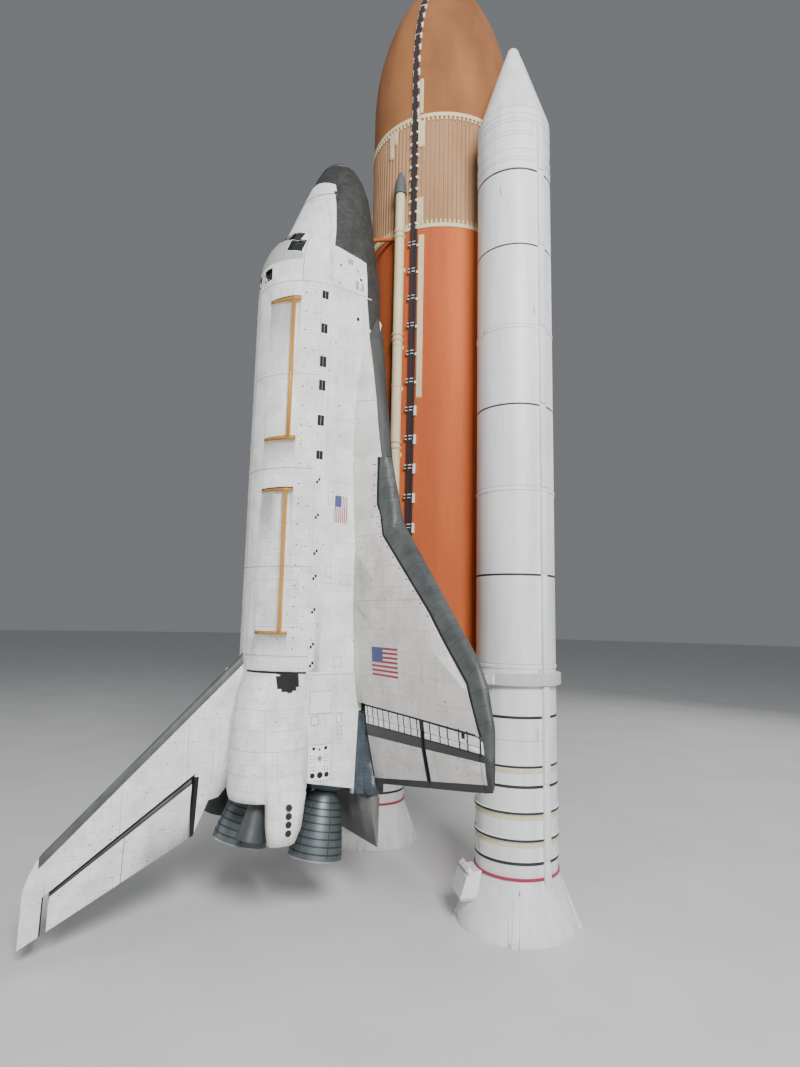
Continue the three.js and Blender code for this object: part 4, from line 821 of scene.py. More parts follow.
def carbon():
    """Coated carbon panels: cool grey, mottled, with a fine woven surface."""
    material, shader, place = finish("carbon_grey", 0.5)
    mottle = between(clouded(place, 2.2, 5.0, 0.65), 0.35, 0.7)
    colour = mixed(mottle, (0.046, 0.052, 0.052, 1), (0.090, 0.098, 0.098, 1))
    fed(shader, "Base Color", colour)
    raised(shader, clouded(place, 90.0, 2.0), 0.001, 0.4)
    return material


WHITE = (0.90, 0.90, 0.885, 1)
body_white = quilted("body_blanket", "body", WHITE, (30, 30))
fresh_white = quilted("fresh_tiles", "body", (0.93, 0.94, 0.94, 1), (60, 60), wear=0.3)
cap_grey = quilted("cap_tiles", "body", (0.43, 0.46, 0.415, 1), (24, 24))
body_black = black_tiles("body_black_tiles", "body", 0.024, 0.6, (1, 1.03, 1))
vent_black = enamel("vent_black", (0.008, 0.008, 0.009, 1), (0.014, 0.014, 0.015, 1), 0.85)
joint_grey = enamel("joint_grey", (0.17, 0.17, 0.17, 1), (0.26, 0.26, 0.26, 1), 0.8)
bare_patch = enamel("bare_patch", (0.42, 0.44, 0.34, 1), (0.30, 0.32, 0.26, 1), 0.8)
carbon_grey = carbon()
bodies = frame["record"]["behaviour"]["bodies"]
body_of_node = {node: body for body, nodes in bodies.items() for node in nodes}


def station_of(place):
    """The orbiter's station at a place in metres."""
    return ORBITER_FLOOR - place.z / INCH


def height_of(place):
    return ORBITER_MIDDLE - place.y / INCH


def edged(points, depth):
    """Outward planes round a flat convex outline that is carried through along a direction."""
    middle = sum(points, Vector()) / len(points)
    planes = []
    for start, end in zip(points, points[1:] + points[:1]):
        outward = (end - start).cross(depth).normalized()
        planes.append((start, outward if outward.dot(start - middle) > 0 else -outward))
    return planes


def flank(outline, low=20):
    """Planes round an outline of (station, height) points on each side, beyond some inches across."""
    points = [orbiter(station, 0, height) for station, height in outline]
    return [edged(points, Vector((1, 0, 0))) + [(orbiter(0, side * low, 0), Vector((-side, 0, 0)))]
            for side in SIDES.values()]


def whole_flank(outline):
    """Planes round an outline on each side, from the middle line outwards."""
    return flank(outline, 0)


def block(first, last, near, far):
    """The outline of a square patch."""
    return [(first, near), (last, near), (last, far), (first, far)]


def ruled(points, wide):
    """A thin outline along each stretch of a line."""
    rows = []
    for (a, b), (c, d) in zip(points, points[1:]):
        long = math.hypot(c - a, d - b)
        u, v = (d - b) / long * wide / 2, (a - c) / long * wide / 2
        rows.append([(a + u, b + v), (c + u, d + v), (c - u, d - v), (a - u, b - v)])
    return rows


def uprights(near, far, wide, *stations):
    """A thin outline at each station, from one height to another."""
    return [outline for station in stations for outline in ruled([(station, near), (station, far)], wide)]


def marked(paint, outlines, view=flank):
    """Inlays of one finish from outlines."""
    return [(paint, planes) for outline in outlines for planes in view(outline)]


def looks_in(face):
    """Whether a face of the body looks at the body's own middle line, as the bay's walls do."""
    toward = orbiter(0, 0, BODY_MIDDLE) - face.calc_center_median()
    return face.normal.x * toward.x + face.normal.y * toward.y > 0


def reaches_in(face, planes):
    """Whether a face has a corner inside of each plane."""
    return all(any((vert.co - place).dot(outward) < -1e-6 for vert in face.verts)
               for place, outward in planes)


def inlaid(work, planes, number, over, hull):
    """Gives the faces inside outward planes another finish, after cutting them along the planes."""
    inside = [face for face in work.faces if not (hull and looks_in(face)) and reaches_in(face, planes)]
    for place, outward in planes:
        geometry = list(dict.fromkeys(part for face in inside for part in (face, *face.edges, *face.verts)))
        if not geometry:
            return
        cut = bmesh.ops.bisect_plane(work, geom=geometry, dist=1e-6, plane_co=place, plane_no=outward)
        inside = [part for part in cut["geom"] if isinstance(part, bmesh.types.BMFace)
                  and (part.calc_center_median() - place).dot(outward) < 0]
    for face in inside:
        if over is None or face.material_index == over:
            face.material_index = number


def fitted(node, base, cuts=(), inlays=(), crease=35, over=None, hull=False):
    """A merged copy of a CAD node, cut along planes, in a base finish or one chosen from each
    face's middle and normal, then with inlays of other finishes in their order. They can be kept
    to the faces of one finish, or off the faces that look at the body's middle line."""
    work = bmesh.new()
    work.from_mesh(cad[node].data)
    bmesh.ops.remove_doubles(work, verts=work.verts, dist=1e-5)
    for place, direction in cuts:
        bisected(work, place, direction)
    work.normal_update()
    paints = []

    def number_of(paint):
        if paint not in paints:
            paints.append(paint)
        return paints.index(paint)

    for face in work.faces:
        paint = base(face.calc_center_median(), face.normal) if callable(base) else base
        face.material_index = number_of(paint)
    only = None if over is None else number_of(over)
    for paint, planes in inlays:
        inlaid(work, planes, number_of(paint), only, hull)
    kept = sorted({face.material_index for face in work.faces})
    for face in work.faces:
        face.material_index = kept.index(face.material_index)
    paints = [paints[number] for number in kept]
    shown(work, node + "_skin", body_of_node[node], paints, [node], crease)


def side_plane(first, last):
    """A plane seen edge-on from the side, through two (station, height) points."""
    start, end = orbiter(first[0], 0, first[1]), orbiter(last[0], 0, last[1])
    return start, (end - start).cross(Vector((1, 0, 0))).normalized()


def on_polyline(points, at):
    """The height of a line of (station, height) points at a station."""
    for (a, b), (c, d) in zip(points, points[1:]):
        if at <= c:
            return b + (d - b) * max(0, at - a) / (c - a)
    return points[-1][1]


NOSE_TOP, NOSE_FOOT = (302, 415), (328, 376)
BORDER = [NOSE_FOOT, (356, 376), (357, 380), (384, 381), (442, 386), (489, 392), (503, 321), (560, 319),
          (588, 318), (589, 324), (600, 324), (601, 321), (640, 321)]
PARTING = [side_plane(NOSE_TOP, NOSE_FOOT)] + [side_plane(*pair) for pair in zip(BORDER, BORDER[1:])]
PARTING += [(orbiter(station, 0, 0), Vector((0, 0, 1))) for station, height in BORDER]
# The cabin roof's rows: station, half width, top, widest height and roundness
ROOF_ROWS = [(448, 93, 454, 362, 2.1), (464, 95, 470, 368, 2.1), (486, 98, 485, 376, 2.1),
             (508, 101, 494, 384, 2.1), (532, 103, 498, 390, 2), (578, 104, 500, 396, 2)]
# Each window's corners: station and angle round the skin from the side to the top
PANES = [
    [(454, 66), (452, 86), (473, 86), (476, 67)], [(468, 46), (460, 62), (479, 63), (484, 46)],
    [(488, 38), (486, 54), (508, 54), (512, 39)], [(541, 73), (541, 84), (562, 83), (562, 72)],
]


def nose_tiles(middle, normal):
    station, height = station_of(middle), height_of(middle)
    slope = (NOSE_TOP[0] - NOSE_FOOT[0]) / (NOSE_TOP[1] - NOSE_FOOT[1])
    ahead = station < NOSE_FOOT[0] + (height - NOSE_FOOT[1]) * slope
    return body_black if ahead or height < on_polyline(BORDER, station) else body_white


def on_roof(station, angle, side):
    """A place on the cabin's roof, degrees round from the side to the top."""
    for low, high in zip(ROOF_ROWS, ROOF_ROWS[1:]):
        if station <= high[0]:
            break
    share = (station - low[0]) / (high[0] - low[0])
    half, top, widest, power = (a + (b - a) * share for a, b in zip(low[1:], high[1:]))
    cos, sin = math.cos(math.radians(angle)), math.sin(math.radians(angle))
    return orbiter(station, side * half * cos ** (2 / power), widest + (top - widest) * sin ** (2 / power))


def window_surrounds(paint, margin):
    """The skin round each pane, a margin in inches wider than the pane."""
    inlays = []
    for side in SIDES.values():
        for corners in PANES:
            points = [on_roof(station, angle, side) for station, angle in corners]
            middle = sum(points, Vector()) / 4
            out = (points[2] - points[0]).cross(points[3] - points[1]).normalized()
            if out.y > 0:
                out = -out
            grown = [point + (point - middle).normalized() * margin * INCH for point in points]
            inlays.append((paint, edged(grown, out) + [(middle - out * 9 * INCH, -out)]))
    return inlays


fitted("nose_cap", carbon_grey, crease=60)
fitted("forward_fuselage_lower", nose_tiles, PARTING, [
    *marked(vent_black, uprights(376, 420, 3, 357.5)),
    *marked(bare_patch, [block(508, 520, 352, 364), block(550, 569, 339, 346), block(552, 570, 328, 334)]),
    *marked(vent_black, [block(543, 548, 332, 337), block(527, 531, 378, 382), block(528, 531, 339, 342),
                         block(330, 333, 366, 370), block(566, 569, 380, 383)]),
    *marked(joint_grey, uprights(322, 420, 0.9, 577.2) + uprights(345, 388, 0.6, 496)),
    *marked(joint_grey, ruled([(410, 400), (480, 412)], 0.6)),
], 45, hull=True)
fitted("forward_fuselage_upper", nose_tiles, PARTING, [
    *marked(vent_black, uprights(376, 460, 3, 357.5), whole_flank),
    *marked(cap_grey, [block(478, 530, 452, 520)], whole_flank),
    *marked(joint_grey, ruled([(474, 433), (480, 437), (499, 445), (530, 450), (577, 452)], 0.9)),
    *marked(joint_grey, uprights(452, 500, 0.8, 530) + uprights(420, 502, 0.9, 577.2), whole_flank),
    *window_surrounds(fresh_white, 5),
    *window_surrounds(vent_black, 3.4),
], 45, hull=True)

# Forward thrusters: a bolted module of white tiles on the nose, with four small round rocket mouths
# of coated metal low on each side.
PORT_RADIUS = 2.6
# Station, inches across and height of each mouth
NOSE_PORTS = [(333, 58, 366), (341, 61, 362), (346, 64, 370), (338, 60, 372)]
fitted("forward_thruster_module", nose_tiles, PARTING, [
    *marked(vent_black, uprights(376, 470, 2, 355), whole_flank),
    *marked(body_black, [block(347, 356, 376, 381)]),
    *marked(vent_black, [block(309, 314, 406, 411), block(316, 321, 415, 421)]),
], 45)
ports = bmesh.new()
for side in SIDES.values():
    for station, across, height in NOSE_PORTS:
        start, end = (orbiter(station, side * (across + out), height) for out in (-6, 1.2))
        rod(ports, start, end, PORT_RADIUS, sides=16)
nose_body = body_of_node["forward_thruster_module"]
shown(ports, "nose_thruster_ports", nose_body, [dark_metal])

# Middle fuselage: an aluminium box whose white blankets are glued on in squares, with vent doors in
# pairs under the bay's sill, outlined hatches and a striped patch. The belly's tiles are black.
WAIST_HEIGHT = 308
WAIST = (orbiter(900, 0, WAIST_HEIGHT), (0, 1, 0))
VENT_DOORS = [(594, 607), (660, 676), (725, 743), (772, 789), (840, 857), (908, 921)]
VENT_SQUARES = (963, 1029, 1095, 1140, 1200, 1261, 1294)
STRIPES = 13
band_grey = enamel("band_tiles", (0.030, 0.034, 0.031, 1), (0.052, 0.057, 0.053, 1), 0.6)
stripe_red = enamel("stripe_red", (0.38, 0.035, 0.075, 1), (0.31, 0.03, 0.065, 1), 0.7)
stripe_blue = enamel("stripe_blue", (0.055, 0.085, 0.24, 1), (0.07, 0.10, 0.22, 1), 0.7)


def body_tiles(middle, normal):
    return body_black if height_of(middle) < WAIST_HEIGHT and normal.y > -0.5 else body_white


def hooped(first, last, near, far, wide):
    """Four thin outlines round a patch."""
    return [block(first, last, near, near + wide), block(first, last, far - wide, far),
            block(first, first + wide, near, far), block(last - wide, last, near, far)]


def striped(patch, corner, crosswise, view=flank):
    """Red on every second of thirteen stripes of a patch, and blue on its corner."""
    first, last, near, far = patch
    step = (last - first if crosswise else far - near) / STRIPES
    reds = []
    for row in range(0, STRIPES, 2):
        if crosswise:
            reds.append(block(first + step * row, first + step * (row + 1), near, far))
        else:
            reds.append(block(first, last, near + step * row, near + step * (row + 1)))
    return marked(stripe_red, reds, view) + marked(stripe_blue, [block(*corner)], view)


side_marks = []
for first, last in VENT_DOORS:
    for near, far in ((410.7, 416.8), (404.2, 410.4)):
        side_marks += marked(vent_black, [block(first - 1.5, last + 1.5, near, far)])
for station in VENT_SQUARES:
    squares = [block(station - 5, station, 407, 411), block(station, station + 5, 411, 415)]
    side_marks += marked(vent_black, squares)
for row in ((982, 1005, 381, 390), (1116, 1138, 379, 390), (1281, 1299, 351, 369), (757, 772, 380, 387)):
    side_marks += marked(joint_grey, hooped(*row, 0.7))
side_marks += marked(joint_grey, uprights(330, 402, 0.5, 700) + uprights(340, 402, 0.5, 840)
                     + ruled([(610, 398), (960, 398)], 0.4) + uprights(330, 402, 0.5, 960)
                     + uprights(325, 402, 0.5, 1150))
side_marks += marked(fresh_white, [block(612, 655, 352, 398), block(960, 1006, 392, 404)])
side_marks += marked(band_grey, [[(580, 300), (580, 319.5), (643, 312), (643, 300)]])
for row in ((626, 633, 336, 342), (690, 692, 384, 387), (748, 750, 398, 400), (812, 814, 372, 376),
            (870, 872, 368, 371), (1080, 1082, 396, 399)):
    side_marks += marked(vent_black, [block(*row)])
side_marks += striped((986, 1037, 376, 350), (986, 1007, 376, 363), False)
fitted("mid_fuselage", body_tiles, [WAIST], side_marks, hull=True)

# Crew hatch: a small metal door in the cabin's side, hinged to open outwards, under the same white
# tiles as the skin round it.
fitted("crew_hatch", body_tiles, [WAIST], marked(joint_grey, uprights(345, 388, 0.6, 496)))

# Aft fuselage: a framed box round the engines, with outlined panels, a plate of ground connections
# with round fittings, blue-black tiles on the stubs beside the flap and a black heat shield.
STUB_START, STUB_STEP, SHIELD_START = 1378, 1490, 1480
STUB_LINE = [(STUB_START, 314), (1516, 320)]
PLATE = (1431, 1493, 367, 412)
# Station, height and radius of each round fitting
PLATE_ROUNDS = [(1438, 401, 3), (1440, 390, 2), (1438, 378, 3.2), (1483, 402, 4.6), (1483, 388, 5.6),
                (1483, 375, 4.6)]
stub_blue = black_tiles("stub_tiles", "fin", 0.045, 0.4, (0.8, 1.05, 1.35))


def aft_tiles(middle, normal):
    station, height = station_of(middle), height_of(middle)
    if normal.z < -0.6 and station > SHIELD_START:
        return body_black
    stub_side = (104 if station < STUB_STEP else 99) * INCH
    if station > STUB_START and height < on_polyline(STUB_LINE, station) and abs(middle.x) > stub_side:
        return stub_blue
    return body_black if height < WAIST_HEIGHT else body_white


def square_cut(station):
    """A cut square to the body."""
    return orbiter(station, 0, 0), (0, 0, 1)


def round_patch(middle, height, radius, sides=10):
    """The outline of a round patch."""
    angles = [math.tau * side / sides for side in range(sides)]
    return [(middle + radius * math.cos(angle), height + radius * math.sin(angle)) for angle in angles]


bolts = [round_patch(1450 + 4.9 * row, height, 1.2, 6)
         for row in (0, 1, 2, 4, 5) for height in (406, 400, 379, 373)]
aft_marks = marked(fresh_white, [block(1340, 1379, 369, 411)])
aft_marks += marked(vent_black, uprights(419, 560, 3, 1308.5))
for row in ((1340, 1379, 369, 411, 0.8), (1383, 1399, 394, 408, 1.2), (1381, 1397, 348, 359, 1.0),
            (1402, 1418, 347, 357, 1.0), (1424, 1433, 346, 353, 0.8)):
    aft_marks += marked(joint_grey, hooped(*row))
aft_marks += marked(joint_grey, uprights(345, 412, 0.7, 1380) + uprights(330, 416, 0.7, 1312)
                    + ruled([(1492, 371), (1497, 375)], 1.4))
aft_marks += marked(fresh_white, [block(*PLATE)]) + marked(joint_grey, hooped(*PLATE, 0.7))
aft_marks += marked(vent_black, [round_patch(*row) for row in PLATE_ROUNDS])
aft_marks += marked(bare_patch, [round_patch(1455, 389, 5.2)])
aft_marks += marked(vent_black, [round_patch(1455, 389, 1.8, 6)] + bolts)
aft_cuts = [WAIST, square_cut(STUB_START), square_cut(STUB_STEP), side_plane(*STUB_LINE)]
fitted("aft_fuselage", aft_tiles, aft_cuts, aft_marks, hull=True)

# Payload bay doors: curved composite panels under white blankets, with silvery radiators inside. The
# gold handling bars, long beams with a curved cross piece at each end, are clamped on for work on
# the ground. The bay's front wall is white, and the flight deck ahead of it bare metal.
BAR_FRONTS, BAR_END = (612, 979), 2.2
DOOR_SKIN, DOOR_LINER = 104.25, 99
radiator = enamel("radiator_silver", (0.62, 0.63, 0.64, 1), (0.52, 0.53, 0.55, 1), 0.25, 0.7)
gold_paint = enamel("gold_paint", (0.62, 0.31, 0.06, 1), (0.46, 0.22, 0.04, 1), 0.5, 0.3)
bare_steel = enamel("bare_steel", (0.34, 0.35, 0.37, 1), (0.25, 0.26, 0.28, 1), 0.4, 0.8)


def door_faces(middle, normal):
    """Dark ends and gold on the bars, which stand out from the skin, and silver on the inside."""
    out = Vector((middle.x, (ORBITER_MIDDLE - BODY_MIDDLE) * INCH - middle.y))
    radius = out.length / INCH
    if radius > DOOR_SKIN:
        at_front = any(start < station_of(middle) < start + BAR_END for start in BAR_FRONTS)
        return vent_black if normal.z > 0.7 or at_front else gold_paint
    inward = normal.x * out.x - normal.y * out.y < 0
    return radiator if inward and radius < DOOR_LINER else body_white


door_marks = marked(joint_grey, uprights(410, 520, 1.0, 762) + uprights(410, 520, 1.2, 942, 1122)
                    + uprights(410, 520, 1.0, 1280), whole_flank)
door_marks += marked(joint_grey, uprights(440, 500, 0.5, 1146) + uprights(430, 490, 0.5, 1230)
                     + ruled([(1000, 470), (1230, 470)], 0.4))
for first, step, wide, near, far in ((600, 37, 2.2, 443, 445.5), (640, 74, 2, 428, 430.5)):
    for station in range(first, 1290, step):
        door_marks += marked(vent_black, [block(station, station + wide, near, far)])
bar_cuts = [square_cut(start + BAR_END) for start in BAR_FRONTS]
for word in SIDES:
    fitted("bay_door_" + word, door_faces, bar_cuts, door_marks, over=body_white)
fitted("bay_forward_bulkhead", body_white)
fitted("flight_deck", bare_steel)


# Windows: thick double panes of dark-looking glass in the cabin's roof and rear wall, set into the
# frames that the forward fuselage carries.
def window_glass():
    material, shader, place = finish("window_glass", 0.08)
    tint = clouded(place, 6.0)
    colour = mixed(tint, (0.012, 0.014, 0.016, 1), (0.03, 0.035, 0.04, 1))
    fed(shader, "Base Color", colour)
    shader.inputs["Coat Weight"].default_value = 0.6
    return material


glass = window_glass()
for node in ("windshield", "overhead_windows", "aft_deck_windows"):
    fitted(node, glass)

# Wings and elevons: white felt glued on above and black tiles below, parted along the wing's own
# chord line. Dark strips cover the hinges, and the right wing carries a striped patch.
CHORD_ROOT, CHORD_HEIGHT, CHORD_RISE = 96, 285.2, 0.0627
# Lines on the upper skin as (station, inches across): the chine's dark edge, and the line that the
# carbon panels start at; then how far out each door over the elevons' hinges is
CHINE = [(590, 70), (643, 100), (718, 115.5), (804, 132.3), (912, 153)]
PANEL_LINE = [(912, 149), (1003, 154), (1063, 182), (1202, 331), (1241, 367), (1300, 424.5), (1369, 454)]
HINGE_DOORS = [124, 142, 160, 178, 196, 215, 243.5, 260.5, 280, 299, 334, 359, 379, 406, 425, 453]
HINGE_FRONT = [(1365.4, 280), (1369.3, 458)]
HINGE_BACK = [(1394.5, 280), (1392.8, 458)]
HINGE_STRIP = [(1396, 100), (1394.5, 280), (1392.8, 470), (1403, 470), (1411, 280), (1419, 100)]
wing_white = quilted("wing_blanket", "wing", (0.78, 0.755, 0.73, 1), (36, 36), (12, 12), wear=1.8)
wing_black = black_tiles("wing_black_tiles", "wing")


def wing_tiles(middle, normal):
    chord = CHORD_HEIGHT + (abs(middle.x) / INCH - CHORD_ROOT) * CHORD_RISE
    return wing_black if height_of(middle) < chord + 1.5 and normal.y > -0.35 else wing_white


def wing_top(side):
    """A view of the wing's upper skin: planes round outlines of (station, across) points."""
    floor_plane = (orbiter(0, side * CHORD_ROOT, 286), Vector((CHORD_RISE * side, 1, 0)))

    def view(outline):
        points = [orbiter(station, side * across, 0) for station, across in outline]
        return [edged(points, Vector((0, 1, 0))) + [floor_plane]]
    return view


def wing_marks(side):
    top = wing_top(side)
    marks = []
    for (a, b), (c, d) in zip(CHINE, CHINE[1:]):
        marks += marked(band_grey, [[(a, b), (c, d), (c, 240), (a, 240)]], top)
    marks += marked(vent_black, ruled(PANEL_LINE[:4], 4), top)
    for station in range(925, 1206, 20):
        across = on_polyline(PANEL_LINE, station)
        marks += marked(vent_black, [block(station, station + 2, across - 9, across - 5)], top)
    marks += marked(band_grey, [HINGE_STRIP], top)
    marks += marked(fresh_white, [[(1363, 112), *HINGE_FRONT, *HINGE_BACK[::-1], (1397, 112)]], top)
    marks += marked(vent_black, ruled([(1364, 108), *HINGE_FRONT], 3.2), top)
    marks += marked(vent_black, ruled([(1397.3, 108), *HINGE_BACK], 2), top)
    gaps = [block(1365, 1395, across - 1.5, across + 1.5) for across in HINGE_DOORS]
    gaps += [block(1368.3, 1377.5, 411.8, 419.6), block(1365, 1530, 306.5, 318.5)]
    marks += marked(vent_black, gaps, top)
    marks += marked(band_grey, [[(1502, 80), (1453.2, 342.7), (1428, 480), (1560, 480), (1560, 80)]], top)
    marks += marked(band_grey, [block(1369, 1540, 459, 480)], top)
    marks += marked(joint_grey, uprights(60, 106, 1, 675) + uprights(60, 130, 1, 797)
                    + uprights(120, 308, 0.5, 1180) + uprights(110, 178, 0.5, 1060)
                    + ruled([(1250, 105), (1366, 105)], 0.8), top)
    if side > 0:
        marks += striped((1260, 1308.5, 169, 251.5), (1260, 1284, 169, 205), True, top)
    return marks


for word, side in SIDES.items():
    for node in ("wing_" + word, f"elevon_{word}_inner", f"elevon_{word}_outer"):
        fitted(node, wing_tiles, inlays=wing_marks(side))


# Wing leading edges: a row of separate panels of coated carbon, bolted on in front of the wing, with
# a white margin and a dark line where they start and thin joints square to the edge.
def edge_marks(side):
    top = wing_top(side)
    marks = []
    for (a, b), (c, d) in zip(PANEL_LINE[3:], PANEL_LINE[4:]):
        marks += marked(wing_white, [[(a, b - 30), (c, d - 30), (c, d), (a, b)]], top)
    marks += marked(vent_black, ruled(PANEL_LINE, 4.5), top)
    for station in range(935, 1356, 20):
        across = on_polyline(PANEL_LINE, station)
        along = Vector((4, on_polyline(PANEL_LINE, station + 4) - across)).normalized()
        outward = Vector((-along.y, along.x))
        start, end = (Vector((station, across)) + outward * reach for reach in (-2, 60))
        points = [orbiter(place[0], side * place[1], 0) for place in ruled([start, end], 0.45)[0]]
        marks.append((vent_black, edged(points, Vector((0, 1, 0)))))
    return marks


for word, side in SIDES.items():
    fitted("wing_edge_" + word, carbon_grey, inlays=edge_marks(side))

# Manoeuvring pods: composite shells under off-white tiles with one black patch and panel joints,
# bolted beside the fin, and a housing at the back with round thruster mouths of coated metal.
PATCH_ROWS = [(1300, 1331, 434, 441), (1300, 1337, 441, 449), (1300, 1340, 449, 459),
              (1300, 1338, 459, 469), (1312, 1333, 469, 476)]
# Each row of mouths: the two ends' inches across and height, and the radius
MOUTH_ROWS = [((138, 462), (149.4, 462), 5.2), ((131, 470), (131, 490.6), 4.4)]
pod_white = quilted("pod_tiles", "body", (0.96, 0.955, 0.935, 1), (22, 20), (8, 8), 430)
pod_marks = marked(joint_grey, uprights(420, 540, 0.5, 1367) + uprights(420, 540, 0.45, 1400)
                   + uprights(420, 540, 0.5, 1432, 1470) + ruled([(1367, 497), (1508, 497)], 0.45)
                   + ruled([(1432, 478), (1508, 478)], 0.6) + ruled([(1345, 448), (1508, 448)], 0.4))
pod_marks += marked(vent_black, [block(*row) for row in PATCH_ROWS])
pod_marks += marked(fresh_white, [block(1482, 1510, 479, 492)])
pod_marks += marked(vent_black, uprights(400, 560, 3, 1308))
for word, side in SIDES.items():
    node = "manoeuvring_pod_" + word
    fitted(node, pod_white, inlays=pod_marks, crease=50)
    mouths = bmesh.new()
    for station in (1517, 1530, 1543, 1556):
        for start, end, radius in MOUTH_ROWS:
            start, end = (orbiter(station, side * across, height) for across, height in (start, end))
            rod(mouths, start, end, radius)
    shown(mouths, "thruster_mouths_" + word, body_of_node[node], [dark_metal])

# Fin and rudder: an aluminium fin under white blankets with a dark leading band and dark rows round
# the rudder, which is split into two hinged speed brake panels beside a steel hinge seal.
FIN_ROOT = 503
fin_white = quilted("fin_blanket", "fin", WHITE, (24, 18))


def fin_lead(height):
    return 1280.9 + (height - FIN_ROOT)


def fin_hinge(height):
    return fin_lead(height) + 0.6 * (268.5 - 160 * (height - FIN_ROOT) / 315)


def fin_view(outline):
    return flank(outline, -30)[:1]


fin_marks = marked(carbon_grey, [
    [(fin_lead(497) - 30, 497), (fin_lead(497) + 20, 497),
     (fin_lead(800) + 17, 800), (fin_lead(800) - 30, 800)],
], fin_view)
fin_marks += marked(vent_black, [
    [(fin_hinge(581) - 9, 577), (fin_hinge(581) + 20, 577),
     (fin_hinge(790) + 20, 790), (fin_hinge(790) - 6, 790)],
    block(fin_hinge(576) - 8, 1600, 570, 581),
    block(fin_hinge(790) - 7, 1720, 785, 792),
], fin_view)
for height in (590, 690):
    ends = [(fin_lead(height) + 20, height), (fin_hinge(height), height)]
    fin_marks += marked(joint_grey, ruled(ends, 0.6), fin_view)
fitted("fin", fin_white, inlays=fin_marks)
fitted("rudder_hinge_seal", dark_metal)
brake_marks = marked(joint_grey, ruled([(1500, 682), (1720, 682)], 1.2), fin_view)
for word in SIDES:
    fitted("speed_brake_" + word, fin_white, inlays=brake_marks)

# Body flap: a hinged aluminium flap below the engines, covered all over in black tiles. Their colour is
# lightened to a warm grey as a painted sheen that stands in for glare on the glossy tiles.
# Painted sheen: the flap's black tiles get a lighter grey that stands in for glare.
flap_painted_sheen = enamel("flap_tiles_painted_sheen", (0.10, 0.106, 0.10, 1), (0.185, 0.19, 0.178, 1), 0.42)
fitted("body_flap", flap_painted_sheen)

# Main engines: bells of brazed steel tubes with hat bands welded round them and pipes laid along
# them, each behind a domed heat shield that turns with the engine.
SHIELD_RADIUS, BELL_START, BELL_WALL = 58, 58, 2.2
# Distance along the axis and radius of the bell's outline
BELL = [(BELL_START, 20.5), (64, 24.6), (72, 28.5), (82, 32.1), (92, 35), (107, 38.6), (122, 41.5),
        (144, 44.9), (167, 47.5)]
HAT_BANDS = (73, 84, 95, 107, 119, 131, 143, 155)
LIP = [(45.2, 164.6), (48.1, 164.6), (48.3, 167), (45.4, 167), (45.2, 164.6)]
PIPE_STEPS, PIPE_KINK = (60, 72, 84, 97, 110, 112, 124, 136, 148, 160), 7
# Each engine's station, inches across, height, and degrees up and out
ENGINES = {
    "top": (1445, 0, 443, 16, 0),
    "right": (1468.2, 53, 342.6, 10, 3.5),
    "left": (1468.2, -53, 342.6, 10, -3.5),
}
bell_steel = enamel("bell_steel", (0.150, 0.175, 0.185, 1), (0.095, 0.115, 0.125, 1), 0.45, 0.6)
band_steel = enamel("band_steel", (0.050, 0.058, 0.062, 1), (0.035, 0.04, 0.045, 1), 0.5, 0.5)
rim_steel = enamel("rim_steel", (0.42, 0.43, 0.42, 1), (0.30, 0.31, 0.31, 1), 0.4, 0.6)
engine_finishes = [bell_steel, band_steel, rim_steel]
BELL_METAL, BAND_METAL, RIM_METAL = range(3)


def on_axis(station, across, height, pitch, yaw):
    """Turns what is made along +Z onto an engine's axis, angles in degrees."""
    pitch, yaw = math.radians(pitch), math.radians(yaw)
    aft = Vector((math.cos(pitch) * math.sin(yaw), -math.sin(pitch), -math.cos(pitch) * math.cos(yaw)))
    turning = aft.to_track_quat("Z", "Y").to_matrix().to_4x4()
    return Matrix.Translation(orbiter(station, across, height)) @ turning


def spun(profile, steps):
    """A shell of revolution from (radius, distance) pairs in inches."""
    return turned([(radius * INCH, distance * INCH) for radius, distance in profile], steps=steps)


def added(work, other, number):
    """Joins another mesh on in one of the piece's finishes."""
    for face in other.faces:
        face.material_index = number
    joined_to(work, other)


def bell_pipe(pipes, angle, kink):
    points = []
    for distance in PIPE_STEPS:
        turning, radius = math.radians(angle + (kink if distance > 110 else 0)), on_polyline(BELL, distance)
        points.append(Vector((radius * math.cos(turning), radius * math.sin(turning), distance)) * INCH)
    for start, end in zip(points, points[1:]):
        rod(pipes, start, end, 0.9, sides=8)


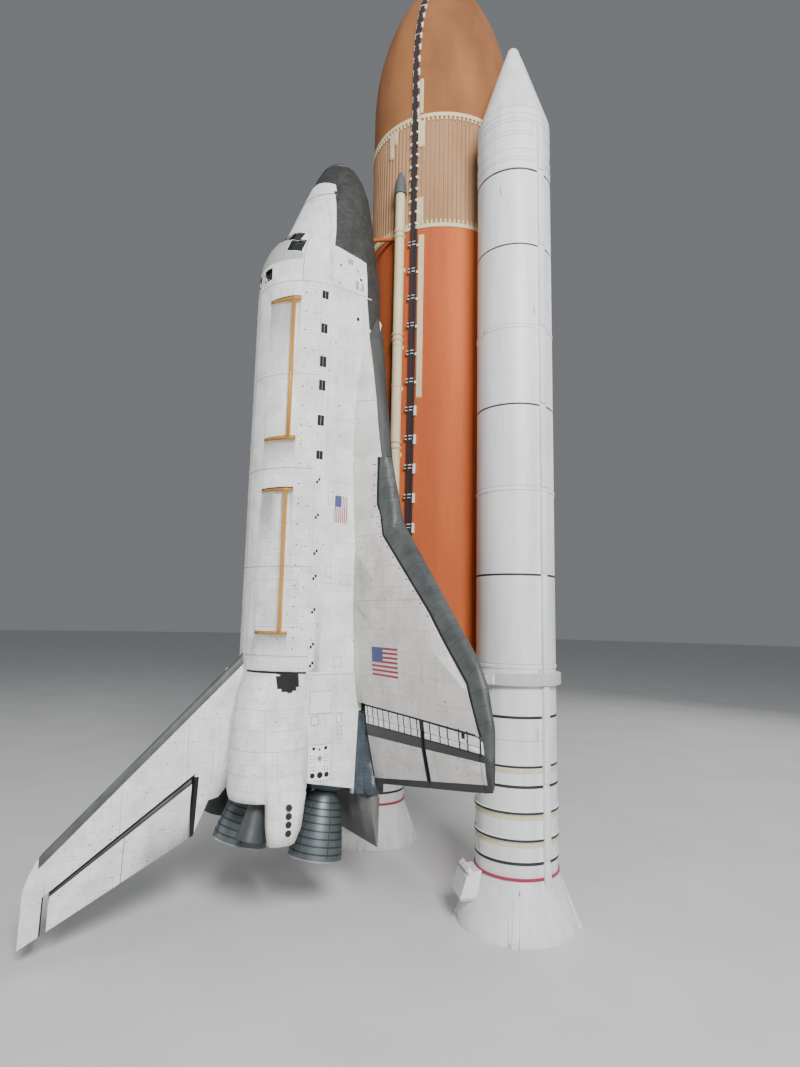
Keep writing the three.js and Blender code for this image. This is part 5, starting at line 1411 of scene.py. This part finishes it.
def main_engine(word, axis):
    arc = [(SHIELD_RADIUS * math.sin(math.radians(angle)), SHIELD_RADIUS * math.cos(math.radians(angle)))
           for angle in range(40, 15, -4)]
    profile = [(0, 10), (13, 10), (13, arc[0][1]), *arc] + [(radius, distance) for distance, radius in BELL]
    for distance, radius in BELL[::-1]:
        profile.append((radius - BELL_WALL, distance + (1 if distance < 160 else 0)))
    work = spun(profile + [(0, 57)], 72)
    for face in work.faces:
        middle = face.calc_center_median() / INCH
        inside = middle.xy.length < on_polyline(BELL, middle.z) - 1.4
        face.material_index = BAND_METAL if middle.z > BELL_START and inside else BELL_METAL
    for distance in HAT_BANDS:
        radius = on_polyline(BELL, distance)
        slope = (on_polyline(BELL, distance + 2) - on_polyline(BELL, distance - 2)) / 4
        loop = [(radius - 1 - slope, distance - 1.1), (radius + 0.7 - slope, distance - 1.1),
                (radius + 0.7 + slope, distance + 1.1), (radius - 1 + slope, distance + 1.1)]
        added(work, spun(loop + loop[:1], 72), BAND_METAL)
    added(work, spun(LIP, 72), RIM_METAL)
    pipes = bmesh.new()
    for angle in range(20, 360, 60):
        bell_pipe(pipes, angle, PIPE_KINK if angle % 120 == 80 else 0)
    added(work, pipes, BAND_METAL)
    bmesh.ops.transform(work, matrix=on_axis(*axis), verts=work.verts)
    node = "main_engine_" + word
    shown(work, node + "_skin", body_of_node[node], engine_finishes, [node])


for word, axis in ENGINES.items():
    main_engine(word, axis)

# Manoeuvring nozzles: a plain flared bell of thin coated metal at the back of each pod, closed at
# its throat and fixed there at an angle up and out.
NOZZLE_BELL = [(0, -9), (12, -9), (14, 6), (15.6, 16), (18, 32), (20.6, 48), (22.5, 62), (21, 62), (19, 48),
               (16.5, 32), (12, 10), (5, 2), (0, 1)]
nozzle_grey = enamel("nozzle_grey", (0.075, 0.085, 0.088, 1), (0.055, 0.06, 0.065, 1), 0.55, 0.3)
for word, side in SIDES.items():
    work = spun(NOZZLE_BELL, 48)
    bmesh.ops.transform(work, matrix=on_axis(1516, side * 88, 490, 15.8, side * 6.5), verts=work.verts)
    node = "manoeuvring_nozzle_" + word
    shown(work, node + "_skin", body_of_node[node], [nozzle_grey], [node])
